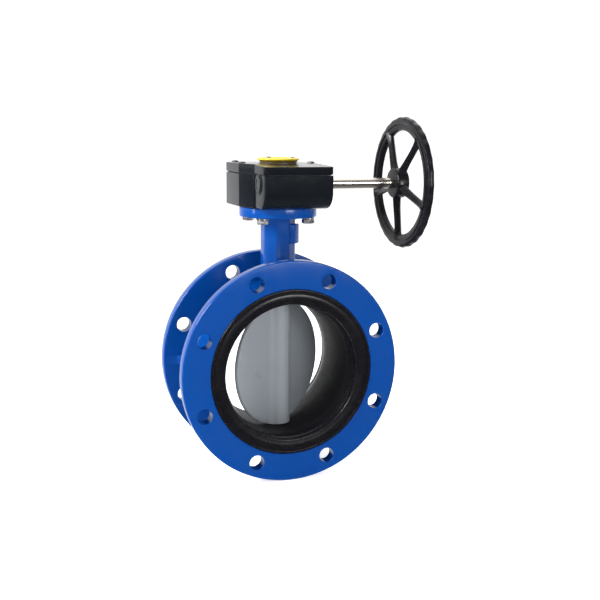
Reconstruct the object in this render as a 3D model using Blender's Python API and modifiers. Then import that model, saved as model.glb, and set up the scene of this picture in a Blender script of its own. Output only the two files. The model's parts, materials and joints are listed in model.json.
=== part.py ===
"""Double-flanged butterfly valve, DN 200, with a worm gearbox and a handwheel, standing part open.

The origin is where the pipe axis (Y) crosses the stem axis (Z), midway between the two flange faces.
+X points to the handwheel. All sizes are in metres.
"""

import math

import bmesh
import bpy
from mathutils import Matrix, Vector

GAP = 0.0003

# How far a cutter runs past the surface it opens, and half the length of one that crosses a shaft
OVERRUN = 0.005
CROSSING = 0.020

# Body: flanges drilled to the DN 200 PN 10 table, laid short between faces
FLANGE_RADIUS = 0.170
FLANGE_THICKNESS = 0.020
FACE = 0.076
BOLT_CIRCLE_RADIUS = 0.1475
BOLT_HOLE_RADIUS = 0.0115
BOLT_HOLES = 8
SHELL_RADIUS = 0.117
LINER_RADIUS = 0.107
LIP_RADIUS = 0.127
LIP_DEPTH = 0.003
RIB_HALF_THICKNESS = 0.007
RIB_REACH = 0.158
RIB_WAIST = 0.136
NECK_HALF_FLATS = 0.0248
TOP_FLANGE_RADIUS = 0.0595
TOP_FLANGE_LOW = 0.230
TOP_FLANGE_HIGH = 0.245
TOP_BOLT_CIRCLE_RADIUS = 0.051
BOLT_RADIUS = 0.005
BOLT_TOP = 0.257
BOSS_RADIUS = 0.030
BOSS_LOW = -0.150
SINK = 0.009

# Waterway
BORE_RADIUS = 0.100
MOUTH_RADIUS = 0.1045
LINER_FACE = 0.077
DISC_RADIUS = BORE_RADIUS - GAP
DISC_HALF_THICKNESS = 0.0045
HUB_RADIUS = 0.020
HUB_FILLET = 0.014
HUB_END = 0.0975
OPENING = math.radians(33)

# Stem and what carries it
STEM_RADIUS = 0.011
STEM_EDGE = 0.001
BUSH_RADIUS = 0.014
SEAL_RADIUS = 0.0167
SEAL_LOW = 0.206
RETAINER_LOW = 0.227
STEM_TOP = 0.301
STEM_FOOT = 0.020
LOWER_STEM_LOW = -0.140
LOWER_STEM_HIGH = -0.045
DISC_PIN_HEIGHT = 0.060
DISC_PIN_RADIUS = 0.004
KEY_WIDTH = 0.006
KEY_ANGLE = math.radians(45)
KEY_LOW = 0.255
KEY_HIGH = 0.290

# Gearbox
CASING_LOW = TOP_FLANGE_HIGH + GAP
CASING_HIGH = 0.295
COVER_LOW = 0.2962
COVER_HIGH = 0.3102
COVER_LIP = 0.0013
COVER_WALL = 0.0045
CAVITY_RADIUS = 0.051
CAVITY_LOW = 0.262
GEARBOX_HALF_WIDTH = 0.062
GEARBOX_REAR = 0.080
GEARBOX_CHAMFER = 0.012
GEARBOX_WAIST = -0.003
WORM_BLOCK_LEFT = -0.050
WORM_BLOCK_RIGHT = 0.054
WORM_BLOCK_FRONT = -0.092
WORM_BLOCK_REAR = -0.025
WORM_BLOCK_ROUND = 0.025
TUNNEL_RADIUS = 0.022
TUNNEL_HALF_LENGTH = 0.034
BEARING_RADIUS = 0.012
COVER_SCREW_RADIUS = 0.003
COVER_SCREW_LOW = 0.283
COVER_SCREWS_BESIDE_DIAL = (0.0555, 0.006)
COVER_SCREWS_REAR = (0.049, 0.067)

# Worm gear: single-start left-hand worm and a sector cut from a 30-tooth wheel
MODULE = 0.003
WHEEL_TEETH = 30
WHEEL_PITCH_RADIUS = MODULE * WHEEL_TEETH / 2
WORM_PITCH_RADIUS = 0.017
WORM_PITCH = math.pi * MODULE
ADDENDUM = 0.0026
DEDENDUM = 0.00375
TOOTH_HALF_WIDTH = 0.0018
FLANK_SLOPE = math.tan(math.radians(20))
WORM_HEIGHT = 0.282
WORM_Y = -(WHEEL_PITCH_RADIUS + WORM_PITCH_RADIUS)
WHEEL_HALF_FACE = 0.008
SECTOR_TEETH = 9
SECTOR_HALF_ANGLE = math.radians(58)
SECTOR_MIDDLE = math.radians(-135)
JOURNAL_RADIUS = 0.018
BUSH_WALL = 0.003
TOP_HUB_RADIUS = 0.027
SEAL_WALL = 0.003
STOP_X = 0.036
STOP_RADIUS = 0.004

# Indicator
DIAL_RADIUS = 0.0325
DIAL_LOW = 0.3108
DIAL_HIGH = 0.3188
DIAL_EDGE = 0.0015
DIAL_SCREW_RADIUS = 0.002
DIAL_SCREW_LOW = 0.301
DIAL_SCREW_CIRCLE = 0.0225
DIAL_SCREW_ANGLES = (math.radians(81), math.radians(-41))

# Input shaft and handwheel, along X from the stem plane
SHAFT_RADIUS = 0.008
SHAFT_LEFT = -0.045
SHAFT_RIGHT = 0.1823
WORM_LEFT = -0.0325
WORM_RIGHT = 0.030
WORM_PIN_X = -0.0285
WORM_PIN_RADIUS = 0.002
WHEEL_RADIUS = 0.0995
RIM_X = 0.179
RIM_HALF_DEPTH = 0.0105
RIM_HALF_WIDTH = 0.007
HUB_LEFT = 0.1628
HUB_RIGHT = 0.1818
WHEEL_HUB_RADIUS = 0.0225
WHEEL_PIN_X = HUB_LEFT + 0.006
WHEEL_PIN_RADIUS = 0.0025
SPOKES = 5
SPOKE_PHASE = math.radians(31.5)
SPOKE_ROOT_RADIUS = 0.0075
SPOKE_TIP_RADIUS = 0.0058

# Turning a shape made along its own Z onto another axis
ALONG = {
    "X": Matrix(((0, 0, 1), (1, 0, 0), (0, 1, 0))).to_4x4(),
    "Y": Matrix.Rotation(-math.pi / 2, 4, "X"),
    "Z": Matrix.Identity(4),
}


def clear_scene():
    for obj in list(bpy.data.objects):
        bpy.data.objects.remove(obj)


def make_collection(name):
    collection = bpy.data.collections.new(name)
    bpy.context.scene.collection.children.link(collection)
    return collection


clear_scene()
PARTS = make_collection("butterfly_valve")
CUTTERS = make_collection("cutters")


def make_look(name, colour, roughness, metallic=0.0):
    look = bpy.data.materials.new(name)
    look.use_nodes = True
    shader = look.node_tree.nodes["Principled BSDF"]
    shader.inputs["Base Color"].default_value = (*colour, 1.0)
    shader.inputs["Roughness"].default_value = roughness
    shader.inputs["Metallic"].default_value = metallic
    look.diffuse_color = (*colour, 1.0)
    return look


EPOXY = make_look("blue_epoxy", (0.004, 0.085, 0.40), 0.35)
RUBBER = make_look("black_rubber", (0.008, 0.009, 0.010), 0.45)
DISC_COAT = make_look("grey_coating", (0.22, 0.24, 0.26), 0.42)
STAINLESS = make_look("stainless_steel", (0.55, 0.51, 0.46), 0.28, 1.0)
STEEL = make_look("dark_steel", (0.18, 0.18, 0.19), 0.45, 1.0)
ZINC = make_look("zinc_plate", (0.72, 0.73, 0.75), 0.30, 1.0)
BRONZE = make_look("bronze", (0.45, 0.25, 0.10), 0.40, 1.0)
BLACK_PAINT = make_look("black_gloss_paint", (0.010, 0.011, 0.013), 0.18)
YELLOW_PLASTIC = make_look("yellow_plastic", (0.78, 0.55, 0.02), 0.35)
GASKET_PAPER = make_look("gasket_paper", (0.03, 0.03, 0.03), 0.80)


def from_bmesh(name, bm):
    mesh = bpy.data.meshes.new(name)
    bm.to_mesh(mesh)
    bm.free()
    obj = bpy.data.objects.new(name, mesh)
    PARTS.objects.link(obj)
    return obj


def rod(name, radius, low, high, axis="Z", centre=(0, 0, 0), segments=24, high_radius=None, turn=0.0):
    """A closed cylinder or cone from low to high along an axis through centre."""
    bm = bmesh.new()
    middle = Matrix.Translation((0, 0, (low + high) / 2)) @ Matrix.Rotation(turn, 4, "Z")
    top = radius if high_radius is None else high_radius
    place = Matrix.Translation(centre) @ ALONG[axis] @ middle
    bmesh.ops.create_cone(
        bm, cap_ends=True, segments=segments, radius1=radius, radius2=top, depth=high - low, matrix=place
    )
    return from_bmesh(name, bm)


def block(name, low, high, turn=0.0):
    """A box between two corners, then turned about the Z axis."""
    low = Vector(low)
    high = Vector(high)
    bm = bmesh.new()
    place = Matrix.Rotation(turn, 4, "Z") @ Matrix.Translation((low + high) / 2)
    bmesh.ops.create_cube(bm, size=1.0, matrix=place @ Matrix.Diagonal((*(high - low), 1.0)))
    return from_bmesh(name, bm)


def turned(name, outline, axis="Z", closed=True, steps=48):
    """A solid of revolution from (radius, height) points that run down the outer side first."""
    mesh = bpy.data.meshes.new(name)
    points = [(radius, 0.0, height) for radius, height in outline]
    edges = [(i, i + 1) for i in range(len(points) - 1)]
    if closed:
        edges.append((len(points) - 1, 0))
    mesh.from_pydata(points, edges, [])
    obj = bpy.data.objects.new(name, mesh)
    PARTS.objects.link(obj)
    obj.matrix_local = ALONG[axis]
    screw = obj.modifiers.new("turn", "SCREW")
    screw.steps = steps
    screw.render_steps = steps
    screw.use_merge_vertices = True
    screw.merge_threshold = 0.00001
    settle(obj)
    return obj


def ring(name, inner, outer, low, high, axis="Z", steps=20):
    return turned(name, ((outer, high), (outer, low), (inner, low), (inner, high)), axis, steps=steps)


def extruded(name, points, low, high, axis="Z"):
    """A flat outline, given in the plane across the axis, made into a solid from low to high."""
    curve = bpy.data.curves.new(name, "CURVE")
    curve.dimensions = "2D"
    curve.fill_mode = "BOTH"
    curve.extrude = (high - low) / 2
    spline = curve.splines.new("POLY")
    spline.points.add(len(points) - 1)
    for knot, (across, up) in zip(spline.points, points):
        knot.co = (across, up, 0.0, 1.0)
    spline.use_cyclic_u = True
    obj = bpy.data.objects.new(name, curve)
    PARTS.objects.link(obj)
    mesh = bpy.data.meshes.new_from_object(obj.evaluated_get(bpy.context.evaluated_depsgraph_get()))
    bpy.data.objects.remove(obj)
    bm = bmesh.new()
    bm.from_mesh(mesh)
    bmesh.ops.remove_doubles(bm, verts=bm.verts, dist=0.000001)
    bmesh.ops.recalc_face_normals(bm, faces=bm.faces)
    bmesh.ops.transform(bm, verts=bm.verts, matrix=ALONG[axis] @ Matrix.Translation((0, 0, (low + high) / 2)))
    return from_bmesh(name, bm)


def rounded(corners, radius, steps=4):
    """The corners of an outline, each replaced by an arc of the given radius."""
    points = []
    for i, corner in enumerate(corners):
        here = Vector(corner)
        back = (Vector(corners[i - 1]) - here).normalized()
        ahead = (Vector(corners[(i + 1) % len(corners)]) - here).normalized()
        half = back.angle(ahead) / 2
        centre = here + (back + ahead).normalized() * radius / math.sin(half)
        start = here + back * radius / math.tan(half) - centre
        sweep = (math.pi - 2 * half) * (1 if back.cross(ahead) < 0 else -1)
        for step in range(steps + 1):
            angle = sweep * step / steps
            points.append(tuple(centre + Matrix.Rotation(angle, 2) @ start))
    return points


def arc(centre, radius, start, end, steps):
    """Points along a circle between two angles in degrees."""
    angles = [math.radians(start + (end - start) * i / steps) for i in range(steps + 1)]
    return [(centre[0] + radius * math.cos(a), centre[1] + radius * math.sin(a)) for a in angles]


def settle(obj):
    """Fix the modifiers' result as the object's own mesh, with sharp edges where it really turns."""
    mesh = bpy.data.meshes.new_from_object(obj.evaluated_get(bpy.context.evaluated_depsgraph_get()))
    obj.modifiers.clear()
    obj.data = mesh
    mesh.name = obj.name
    mesh.shade_smooth()
    mesh.set_sharp_from_angle(angle=math.radians(35))


def combine(obj, operation, tools):
    """Join, cut or trim an object with each tool in turn."""
    for tool in tools:
        PARTS.objects.unlink(tool)
        CUTTERS.objects.link(tool)
        tool.hide_render = True
        tool.display_type = "WIRE"
        boolean = obj.modifiers.new(tool.name, "BOOLEAN")
        boolean.operation = operation
        boolean.solver = "EXACT"
        boolean.object = tool
        settle(obj)
        bpy.data.objects.remove(tool)


def unite(obj, *tools):
    combine(obj, "UNION", tools)


def cut(obj, *tools):
    combine(obj, "DIFFERENCE", tools)


def soften(obj, width):
    """Chamfer the sharp edges."""
    bevel = obj.modifiers.new("soften", "BEVEL")
    bevel.width = width
    bevel.segments = 1
    bevel.limit_method = "ANGLE"
    bevel.angle_limit = math.radians(50)
    settle(obj)


def chamfered_bar(name, radius, low, high, edge, axis="Z", steps=24):
    """A round bar with a small chamfer at each end."""
    outline = (
        (0.0, high),
        (radius - edge, high),
        (radius, high - edge),
        (radius, low + edge),
        (radius - edge, low),
        (0.0, low),
    )
    return turned(name, outline, axis, closed=False, steps=steps)


def place(obj, look, parent, location=(0, 0, 0)):
    obj.data.materials.clear()
    obj.data.materials.append(look)
    obj.parent = parent
    obj.location = location
    return obj


def copies(first, look, parent, locations):
    """The first piece and its copies, numbered from 1, one at each location."""
    stem = first.name
    first.name = stem + "_1"
    place(first, look, parent, locations[0])
    for number, location in enumerate(locations[1:], start=2):
        twin = bpy.data.objects.new(f"{stem}_{number}", first.data)
        PARTS.objects.link(twin)
        twin.parent = parent
        twin.matrix_local = first.matrix_local
        twin.location = location


def empty(name, location=(0, 0, 0), turn=0.0):
    obj = bpy.data.objects.new(name, None)
    PARTS.objects.link(obj)
    obj.location = location
    obj.rotation_euler = (0, 0, turn)
    return obj


CASING = empty("casing")
DISC_TRAIN = empty("disc_axis", turn=OPENING)
WHEEL_TRAIN = empty("wheel_axis", (0, WORM_Y, WORM_HEIGHT))


def bolt_hole_centres():
    step = 2 * math.pi / BOLT_HOLES
    angles = [step * (i + 0.5) for i in range(BOLT_HOLES)]
    return [(BOLT_CIRCLE_RADIUS * math.cos(a), 0, BOLT_CIRCLE_RADIUS * math.sin(a)) for a in angles]


def top_bolt_centres():
    reach = TOP_BOLT_CIRCLE_RADIUS / math.sqrt(2)
    return [(x, y, 0) for x in (-reach, reach) for y in (-reach, reach)]


def flanged_shell():
    """Both flanges and the shell between them, turned about the pipe axis."""
    inside = FACE - FLANGE_THICKNESS
    edge = 0.0015
    root = 0.008
    outer = (
        (FLANGE_RADIUS - edge, FACE),
        (FLANGE_RADIUS, FACE - edge),
        (FLANGE_RADIUS, inside + edge),
        (FLANGE_RADIUS - edge, inside),
        (SHELL_RADIUS + root, inside),
        (SHELL_RADIUS + root / 3, inside - root / 3),
        (SHELL_RADIUS, inside - root),
    )
    recess = LIP_RADIUS + GAP
    bore = LINER_RADIUS + GAP
    inner = ((recess, FACE), (recess, FACE - LIP_DEPTH), (bore, FACE - LIP_DEPTH))
    profile = list(outer)
    profile += [(radius, -y) for radius, y in reversed(outer)]
    profile += [(radius, -y) for radius, y in inner]
    profile += [(radius, y) for radius, y in reversed(inner)]
    return turned("valve_body", profile, "Y", steps=64)


def side_rib(side):
    """A flat web joining the two flanges, hollowed along its outer edge."""
    inside = FACE - FLANGE_THICKNESS + 0.002
    root = SHELL_RADIUS - 0.004
    corner = RIB_REACH - RIB_WAIST
    front = arc((RIB_REACH, corner - inside), corner, 270, 180, 4)
    rear = arc((RIB_REACH, inside - corner), corner, 180, 90, 4)
    outline = [(root, -inside), *front, *rear, (root, inside)]
    return extruded("rib", [(side * x, y) for x, y in outline], -RIB_HALF_THICKNESS, RIB_HALF_THICKNESS)


def neck_pad():
    """The raised pad cast on the neck's front right facet."""
    half_width = 0.009
    proud = 0.0072
    low = 0.189
    high = 0.219
    start = NECK_HALF_FLATS - 0.004
    front = NECK_HALF_FLATS + proud
    pad = block("pad", (start, -half_width, low), (front, half_width, high), math.radians(-45))
    soften(pad, 0.0015)
    return pad


def octagonal_neck():
    corner_radius = NECK_HALF_FLATS / math.cos(math.pi / 8)
    low = SHELL_RADIUS - SINK
    neck = rod("neck", corner_radius, low, TOP_FLANGE_LOW + 0.005, segments=8, turn=math.pi / 8)
    unite(neck, neck_pad())
    return neck


def neck_foot():
    """The cone that spreads the neck onto the shell."""
    flare = 0.016
    corner_radius = NECK_HALF_FLATS / math.cos(math.pi / 8)
    low = SHELL_RADIUS - SINK
    high = SHELL_RADIUS + flare
    return rod("foot", corner_radius + flare, low, high, high_radius=corner_radius - 0.001, segments=32)


def body_holes():
    """Cutters for the flange bolt holes, the top flange's holes and the stem's bores."""
    reach = FACE * 1.1
    above = TOP_FLANGE_HIGH + OVERRUN
    bore_radius = BUSH_RADIUS + GAP
    holes = [rod("hole", BOLT_HOLE_RADIUS, -reach, reach, "Y", at, 20) for at in bolt_hole_centres()]
    for at in top_bolt_centres():
        holes.append(rod("top_hole", BOLT_RADIUS + 0.0005, TOP_FLANGE_LOW - OVERRUN, above, "Z", at, 16))
    holes.append(rod("stem_bore", bore_radius, SHELL_RADIUS - 0.027, above))
    holes.append(rod("packing_bore", SEAL_RADIUS + GAP, SEAL_LOW, above))
    holes.append(rod("foot_bore", bore_radius, BOSS_LOW - OVERRUN, 0.027 - SHELL_RADIUS))
    return holes


def valve_body():
    body = flanged_shell()
    top = chamfered_bar("top", TOP_FLANGE_RADIUS, TOP_FLANGE_LOW, TOP_FLANGE_HIGH, 0.0012, steps=48)
    boss = rod("boss", BOSS_RADIUS, BOSS_LOW, SINK - SHELL_RADIUS, segments=32)
    unite(body, octagonal_neck(), neck_foot(), boss, side_rib(1), side_rib(-1), top)
    cut(body, *body_holes())
    place(body, EPOXY, CASING)


def seat_liner():
    """The rubber liner: a sleeve in the shell with a lip folded over each flange face."""
    step = 0.011
    outer = (
        (LIP_RADIUS, LINER_FACE),
        (LIP_RADIUS, FACE - LIP_DEPTH + GAP),
        (LINER_RADIUS, FACE - LIP_DEPTH + GAP),
    )
    mouth = (
        (MOUTH_RADIUS + 0.0012, LINER_FACE),
        (MOUTH_RADIUS, LINER_FACE - 0.0014),
        (MOUTH_RADIUS, LINER_FACE - step),
        (BORE_RADIUS, LINER_FACE - 2 * step),
    )
    profile = list(outer)
    profile += [(radius, -y) for radius, y in reversed(outer)]
    profile += [(radius, -y) for radius, y in mouth]
    profile += [(radius, y) for radius, y in reversed(mouth)]
    liner = turned("seat_liner", profile, "Y", steps=64)
    cut(liner, rod("stem_hole", STEM_RADIUS + GAP, -0.120, 0.120, segments=24))
    place(liner, RUBBER, CASING)


def disc_hub():
    """The upright hub with hollow fillets into both faces of the plate, trimmed to the disc's circle."""
    sunk = DISC_HALF_THICKNESS - 0.0001
    join = math.asin((sunk + HUB_FILLET) / (HUB_RADIUS + HUB_FILLET))
    centre_x = (HUB_RADIUS + HUB_FILLET) * math.cos(join)
    degrees = math.degrees(join)
    fillet = arc((centre_x, sunk + HUB_FILLET), HUB_FILLET, 270, 180 + degrees, 3)
    crown = arc((0, 0), HUB_RADIUS, degrees, 180 - degrees, 6)
    other_fillet = [(-x, y) for x, y in reversed(fillet)]
    upper = [*fillet[:-1], *crown, *other_fillet[1:]]
    outline = upper + [(-x, -y) for x, y in upper]
    hub = extruded("hub", outline, -HUB_END, HUB_END)
    trim = rod("trim", DISC_RADIUS - GAP, -0.030, 0.030, "Y", segments=48)
    combine(hub, "INTERSECT", [trim])
    return hub


def disc():
    edge = 0.002
    half = DISC_HALF_THICKNESS
    outline = (
        (0.0, half),
        (DISC_RADIUS - 2 * edge, half),
        (DISC_RADIUS - edge / 2, half - edge / 2),
        (DISC_RADIUS, half - 1.5 * edge),
        (DISC_RADIUS, 1.5 * edge - half),
        (DISC_RADIUS - edge / 2, edge / 2 - half),
        (DISC_RADIUS - 2 * edge, -half),
        (0.0, -half),
    )
    plate = turned("disc", outline, "Y", closed=False, steps=48)
    unite(plate, disc_hub())
    upper = rod("upper", STEM_RADIUS + GAP, STEM_FOOT - 0.002, 0.110)
    lower = rod("lower", STEM_RADIUS + GAP, -0.110, LOWER_STEM_HIGH + 0.002)
    pin_hole = rod("pin_hole", DISC_PIN_RADIUS + GAP, -0.0145, 0.030, "Y", (0, 0, DISC_PIN_HEIGHT), 16)
    cut(plate, upper, lower, pin_hole)
    place(plate, DISC_COAT, DISC_TRAIN)


def stems():
    upper = chamfered_bar("upper_stem", STEM_RADIUS, STEM_FOOT, STEM_TOP, STEM_EDGE)
    pin_hole = rod("pin_hole", DISC_PIN_RADIUS + GAP, -CROSSING, CROSSING, "Y", (0, 0, DISC_PIN_HEIGHT), 16)
    half = KEY_WIDTH / 2 + GAP
    slot_floor = STEM_RADIUS - KEY_WIDTH / 2
    slot = block("slot", (slot_floor, -half, KEY_LOW - GAP), (0.020, half, KEY_HIGH + GAP), KEY_ANGLE)
    cut(upper, pin_hole, slot)
    place(upper, STAINLESS, DISC_TRAIN)
    lower = chamfered_bar("lower_stem", STEM_RADIUS, LOWER_STEM_LOW, LOWER_STEM_HIGH, STEM_EDGE)
    place(lower, STAINLESS, DISC_TRAIN)


def stem_key():
    half = KEY_WIDTH / 2
    low = STEM_RADIUS - half + GAP
    key = block("stem_key", (low, -half, KEY_LOW), (low + KEY_WIDTH, half, KEY_HIGH), KEY_ANGLE)
    soften(key, 0.0004)
    place(key, STEEL, DISC_TRAIN)


def disc_pin():
    pin = rod("disc_pin", DISC_PIN_RADIUS, -0.0140, 0.0205, "Y", (0, 0, DISC_PIN_HEIGHT), 16)
    soften(pin, 0.0005)
    place(pin, STAINLESS, DISC_TRAIN)


def stem_supports():
    inner = STEM_RADIUS + GAP
    bush_low = LINER_RADIUS + 0.004
    place(ring("upper_bush", inner, BUSH_RADIUS, bush_low, SEAL_LOW - 0.002), BRONZE, CASING)
    place(ring("lower_bush", inner, BUSH_RADIUS, -0.139, -bush_low), BRONZE, CASING)
    place(ring("stem_seal", inner, SEAL_RADIUS, SEAL_LOW + GAP, RETAINER_LOW - GAP), RUBBER, CASING)
    place(ring("stem_retainer", inner, SEAL_RADIUS, RETAINER_LOW, TOP_FLANGE_HIGH - GAP), STEEL, CASING)


def bottom_plug():
    """The hexagonal plug that closes the lower stem's bore, on its gasket."""
    gasket_low = BOSS_LOW - 0.0018
    spigot_high = -0.1412
    place(ring("plug_gasket", BUSH_RADIUS + GAP, 0.022, gasket_low, BOSS_LOW - GAP), GASKET_PAPER, CASING)
    head_high = gasket_low - GAP
    plug = rod("bottom_plug", 0.021, head_high - 0.007, head_high, segments=6)
    soften(plug, 0.001)
    unite(plug, rod("spigot", BUSH_RADIUS, head_high - 0.002, spigot_high))
    place(plug, ZINC, CASING)


def gearbox_outline(grow):
    """The gearbox seen from above, grown outwards by the given amount."""
    side = GEARBOX_HALF_WIDTH + grow
    rear = GEARBOX_REAR + grow
    chamfer = GEARBOX_CHAMFER
    front = WORM_BLOCK_FRONT - grow
    left = WORM_BLOCK_LEFT - grow
    right = WORM_BLOCK_RIGHT + grow
    return (
        (left, front),
        (right, front),
        (right, GEARBOX_WAIST - 0.028),
        (side, GEARBOX_WAIST),
        (side, rear - chamfer),
        (side - chamfer, rear),
        (chamfer - side, rear),
        (-side, rear - chamfer),
        (-side, GEARBOX_WAIST),
        (left, GEARBOX_WAIST - 0.042),
    )


def cover_screw_centres():
    centres = []
    for across, along in (COVER_SCREWS_BESIDE_DIAL, COVER_SCREWS_REAR):
        centres += [(-across, along, 0), (across, along, 0)]
    return centres


def cover_screw_holes(low, high):
    """Cutters for the cover screws."""
    radius = COVER_SCREW_RADIUS + GAP
    return [rod("screw_hole", radius, low, high, "Z", at, 8) for at in cover_screw_centres()]


def upper_hollows(high):
    """Cutters for the sector's chamber and for the slot above the worm."""
    chamber = rod("chamber", CAVITY_RADIUS, CAVITY_LOW, high, segments=36)
    front = WORM_Y - TUNNEL_RADIUS
    slot = block("slot", (-TUNNEL_HALF_LENGTH, front, WORM_HEIGHT), (TUNNEL_HALF_LENGTH, -0.040, high))
    return [chamber, slot]


def housing_holes():
    """Cutters for the worm's tunnel, the shaft bore, the stem opening, and the bolt and stop holes."""
    worm_axis = (0, WORM_Y, WORM_HEIGHT)
    below = TOP_FLANGE_HIGH - OVERRUN
    tunnel = rod("tunnel", TUNNEL_RADIUS, -TUNNEL_HALF_LENGTH, TUNNEL_HALF_LENGTH, "X", worm_axis)
    shaft_bore = rod("shaft_bore", BEARING_RADIUS + GAP, -0.070, 0.070, "X", worm_axis)
    opening_radius = JOURNAL_RADIUS + BUSH_WALL + 2 * GAP
    stem_opening = rod("stem_opening", opening_radius, below, CAVITY_LOW + 0.008, segments=32)
    holes = [tunnel, shaft_bore, stem_opening]
    for at in top_bolt_centres():
        holes.append(rod("bolt_hole", BOLT_RADIUS + GAP, below, BOLT_TOP + 0.001, "Z", at, 16))
    for x in (-STOP_X, STOP_X):
        at = (x, 0, WORM_HEIGHT)
        holes.append(rod("stop_hole", STOP_RADIUS + GAP, 0.025, GEARBOX_REAR + OVERRUN, "Y", at, 16))
    return holes


def gearbox_housing():
    rear_outline = gearbox_outline(0)[2:]
    housing = extruded("gearbox_housing", rounded(rear_outline, 0.004, 2), CASING_LOW, CASING_HIGH)
    soften(housing, 0.0012)
    centre = (WORM_BLOCK_FRONT + WORM_BLOCK_ROUND, CASING_LOW + WORM_BLOCK_ROUND)
    profile = [
        (WORM_BLOCK_REAR, CASING_HIGH),
        (WORM_BLOCK_REAR, CASING_LOW),
        *arc(centre, WORM_BLOCK_ROUND, 270, 180, 8),
        (WORM_BLOCK_FRONT, CASING_HIGH),
    ]
    worm_block = extruded("worm_block", profile, WORM_BLOCK_LEFT, WORM_BLOCK_RIGHT, "X")
    soften(worm_block, 0.0025)
    unite(housing, worm_block)
    screw_holes = cover_screw_holes(COVER_SCREW_LOW - 0.002, COVER_LOW)
    cut(housing, *upper_hollows(COVER_LOW), *housing_holes(), *screw_holes)
    place(housing, BLACK_PAINT, CASING)


def gearbox_cover():
    cover = extruded("gearbox_cover", rounded(gearbox_outline(COVER_LIP), 0.005, 2), COVER_LOW, COVER_HIGH)
    soften(cover, 0.0018)
    roof = COVER_HIGH - COVER_WALL
    above = COVER_HIGH + OVERRUN
    opening = rod("opening", TOP_HUB_RADIUS + SEAL_WALL + GAP, CASING_HIGH, above, segments=32)
    cut(cover, *upper_hollows(roof), opening, *cover_screw_holes(CASING_HIGH, above))
    place(cover, BLACK_PAINT, CASING)


def cover_gasket():
    low = CASING_HIGH + GAP
    high = COVER_LOW - GAP
    above = high + OVERRUN
    gasket = extruded("cover_gasket", rounded(gearbox_outline(-0.001), 0.004, 1), low, high)
    cut(gasket, *upper_hollows(above), *cover_screw_holes(CASING_HIGH - OVERRUN, above))
    place(gasket, GASKET_PAPER, CASING)


def cover_screws():
    """Socket screws with low domed heads."""
    low = COVER_HIGH + GAP
    head = 0.0055
    height = 0.0022
    outline = (
        (0.0, low + height),
        (head * 0.6, low + height * 0.9),
        (head, low + height * 0.45),
        (head, low),
        (COVER_SCREW_RADIUS, low),
        (COVER_SCREW_RADIUS, COVER_SCREW_LOW),
        (0.0, COVER_SCREW_LOW),
    )
    screw = turned("cover_screw", outline, closed=False, steps=8)
    cut(screw, rod("socket", 0.0022, low - 0.0005, low + OVERRUN, segments=6))
    copies(screw, STEEL, CASING, cover_screw_centres())


def sector_outline():
    """The toothed arc and the two flat sides of the sector, about its own middle line."""
    root = WHEEL_PITCH_RADIUS - DEDENDUM
    tip = WHEEL_PITCH_RADIUS + ADDENDUM
    root_half = (TOOTH_HALF_WIDTH + DEDENDUM * FLANK_SLOPE) / root
    tip_half = (TOOTH_HALF_WIDTH - ADDENDUM * FLANK_SLOPE) / tip
    pitch_angle = 2 * math.pi / WHEEL_TEETH
    polar = [(root, -SECTOR_HALF_ANGLE)]
    for tooth in range(SECTOR_TEETH):
        middle = (tooth - (SECTOR_TEETH - 1) / 2) * pitch_angle
        polar += [(root, middle - root_half), (tip, middle - tip_half)]
        polar += [(tip, middle + tip_half), (root, middle + root_half)]
    polar += [(root, SECTOR_HALF_ANGLE), (0.0, 0.0)]
    return [
        (radius * math.cos(SECTOR_MIDDLE + angle), radius * math.sin(SECTOR_MIDDLE + angle))
        for radius, angle in polar
    ]


def dial_screw_centres():
    return [(DIAL_SCREW_CIRCLE * math.cos(a), DIAL_SCREW_CIRCLE * math.sin(a), 0) for a in DIAL_SCREW_ANGLES]


def dial_screw_holes(low):
    """Cutters for the dial's screws."""
    radius = DIAL_SCREW_RADIUS + GAP
    return [rod("screw_hole", radius, low, DIAL_HIGH + OVERRUN, "Z", at, 8) for at in dial_screw_centres()]


def worm_wheel():
    """The toothed sector on its hub, bored and keyed for the stem."""
    low = WORM_HEIGHT - WHEEL_HALF_FACE
    high = WORM_HEIGHT + WHEEL_HALF_FACE
    wheel = extruded("worm_wheel", sector_outline(), low, high)
    journal = rod("journal", JOURNAL_RADIUS, CASING_LOW + 0.001, high - 0.002, segments=32)
    top = rod("top", TOP_HUB_RADIUS, low + 0.002, DIAL_LOW - GAP, segments=32)
    unite(wheel, journal, top)
    below = TOP_FLANGE_HIGH - OVERRUN
    bore = rod("bore", STEM_RADIUS + GAP, below, STEM_TOP + 0.001)
    half = KEY_WIDTH / 2 + GAP
    key_reach = STEM_RADIUS + half + GAP
    keyway = block("keyway", (0.0, -half, below), (key_reach, half, KEY_HIGH + 0.001), KEY_ANGLE)
    cut(wheel, bore, keyway, *dial_screw_holes(DIAL_SCREW_LOW - 0.002))
    place(wheel, STEEL, DISC_TRAIN)


def wheel_bush():
    low = CASING_LOW + 0.001
    high = CAVITY_LOW - 0.0005
    inner = JOURNAL_RADIUS + GAP
    place(ring("wheel_bush", inner, inner + BUSH_WALL, low, high), BRONZE, CASING)


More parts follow.
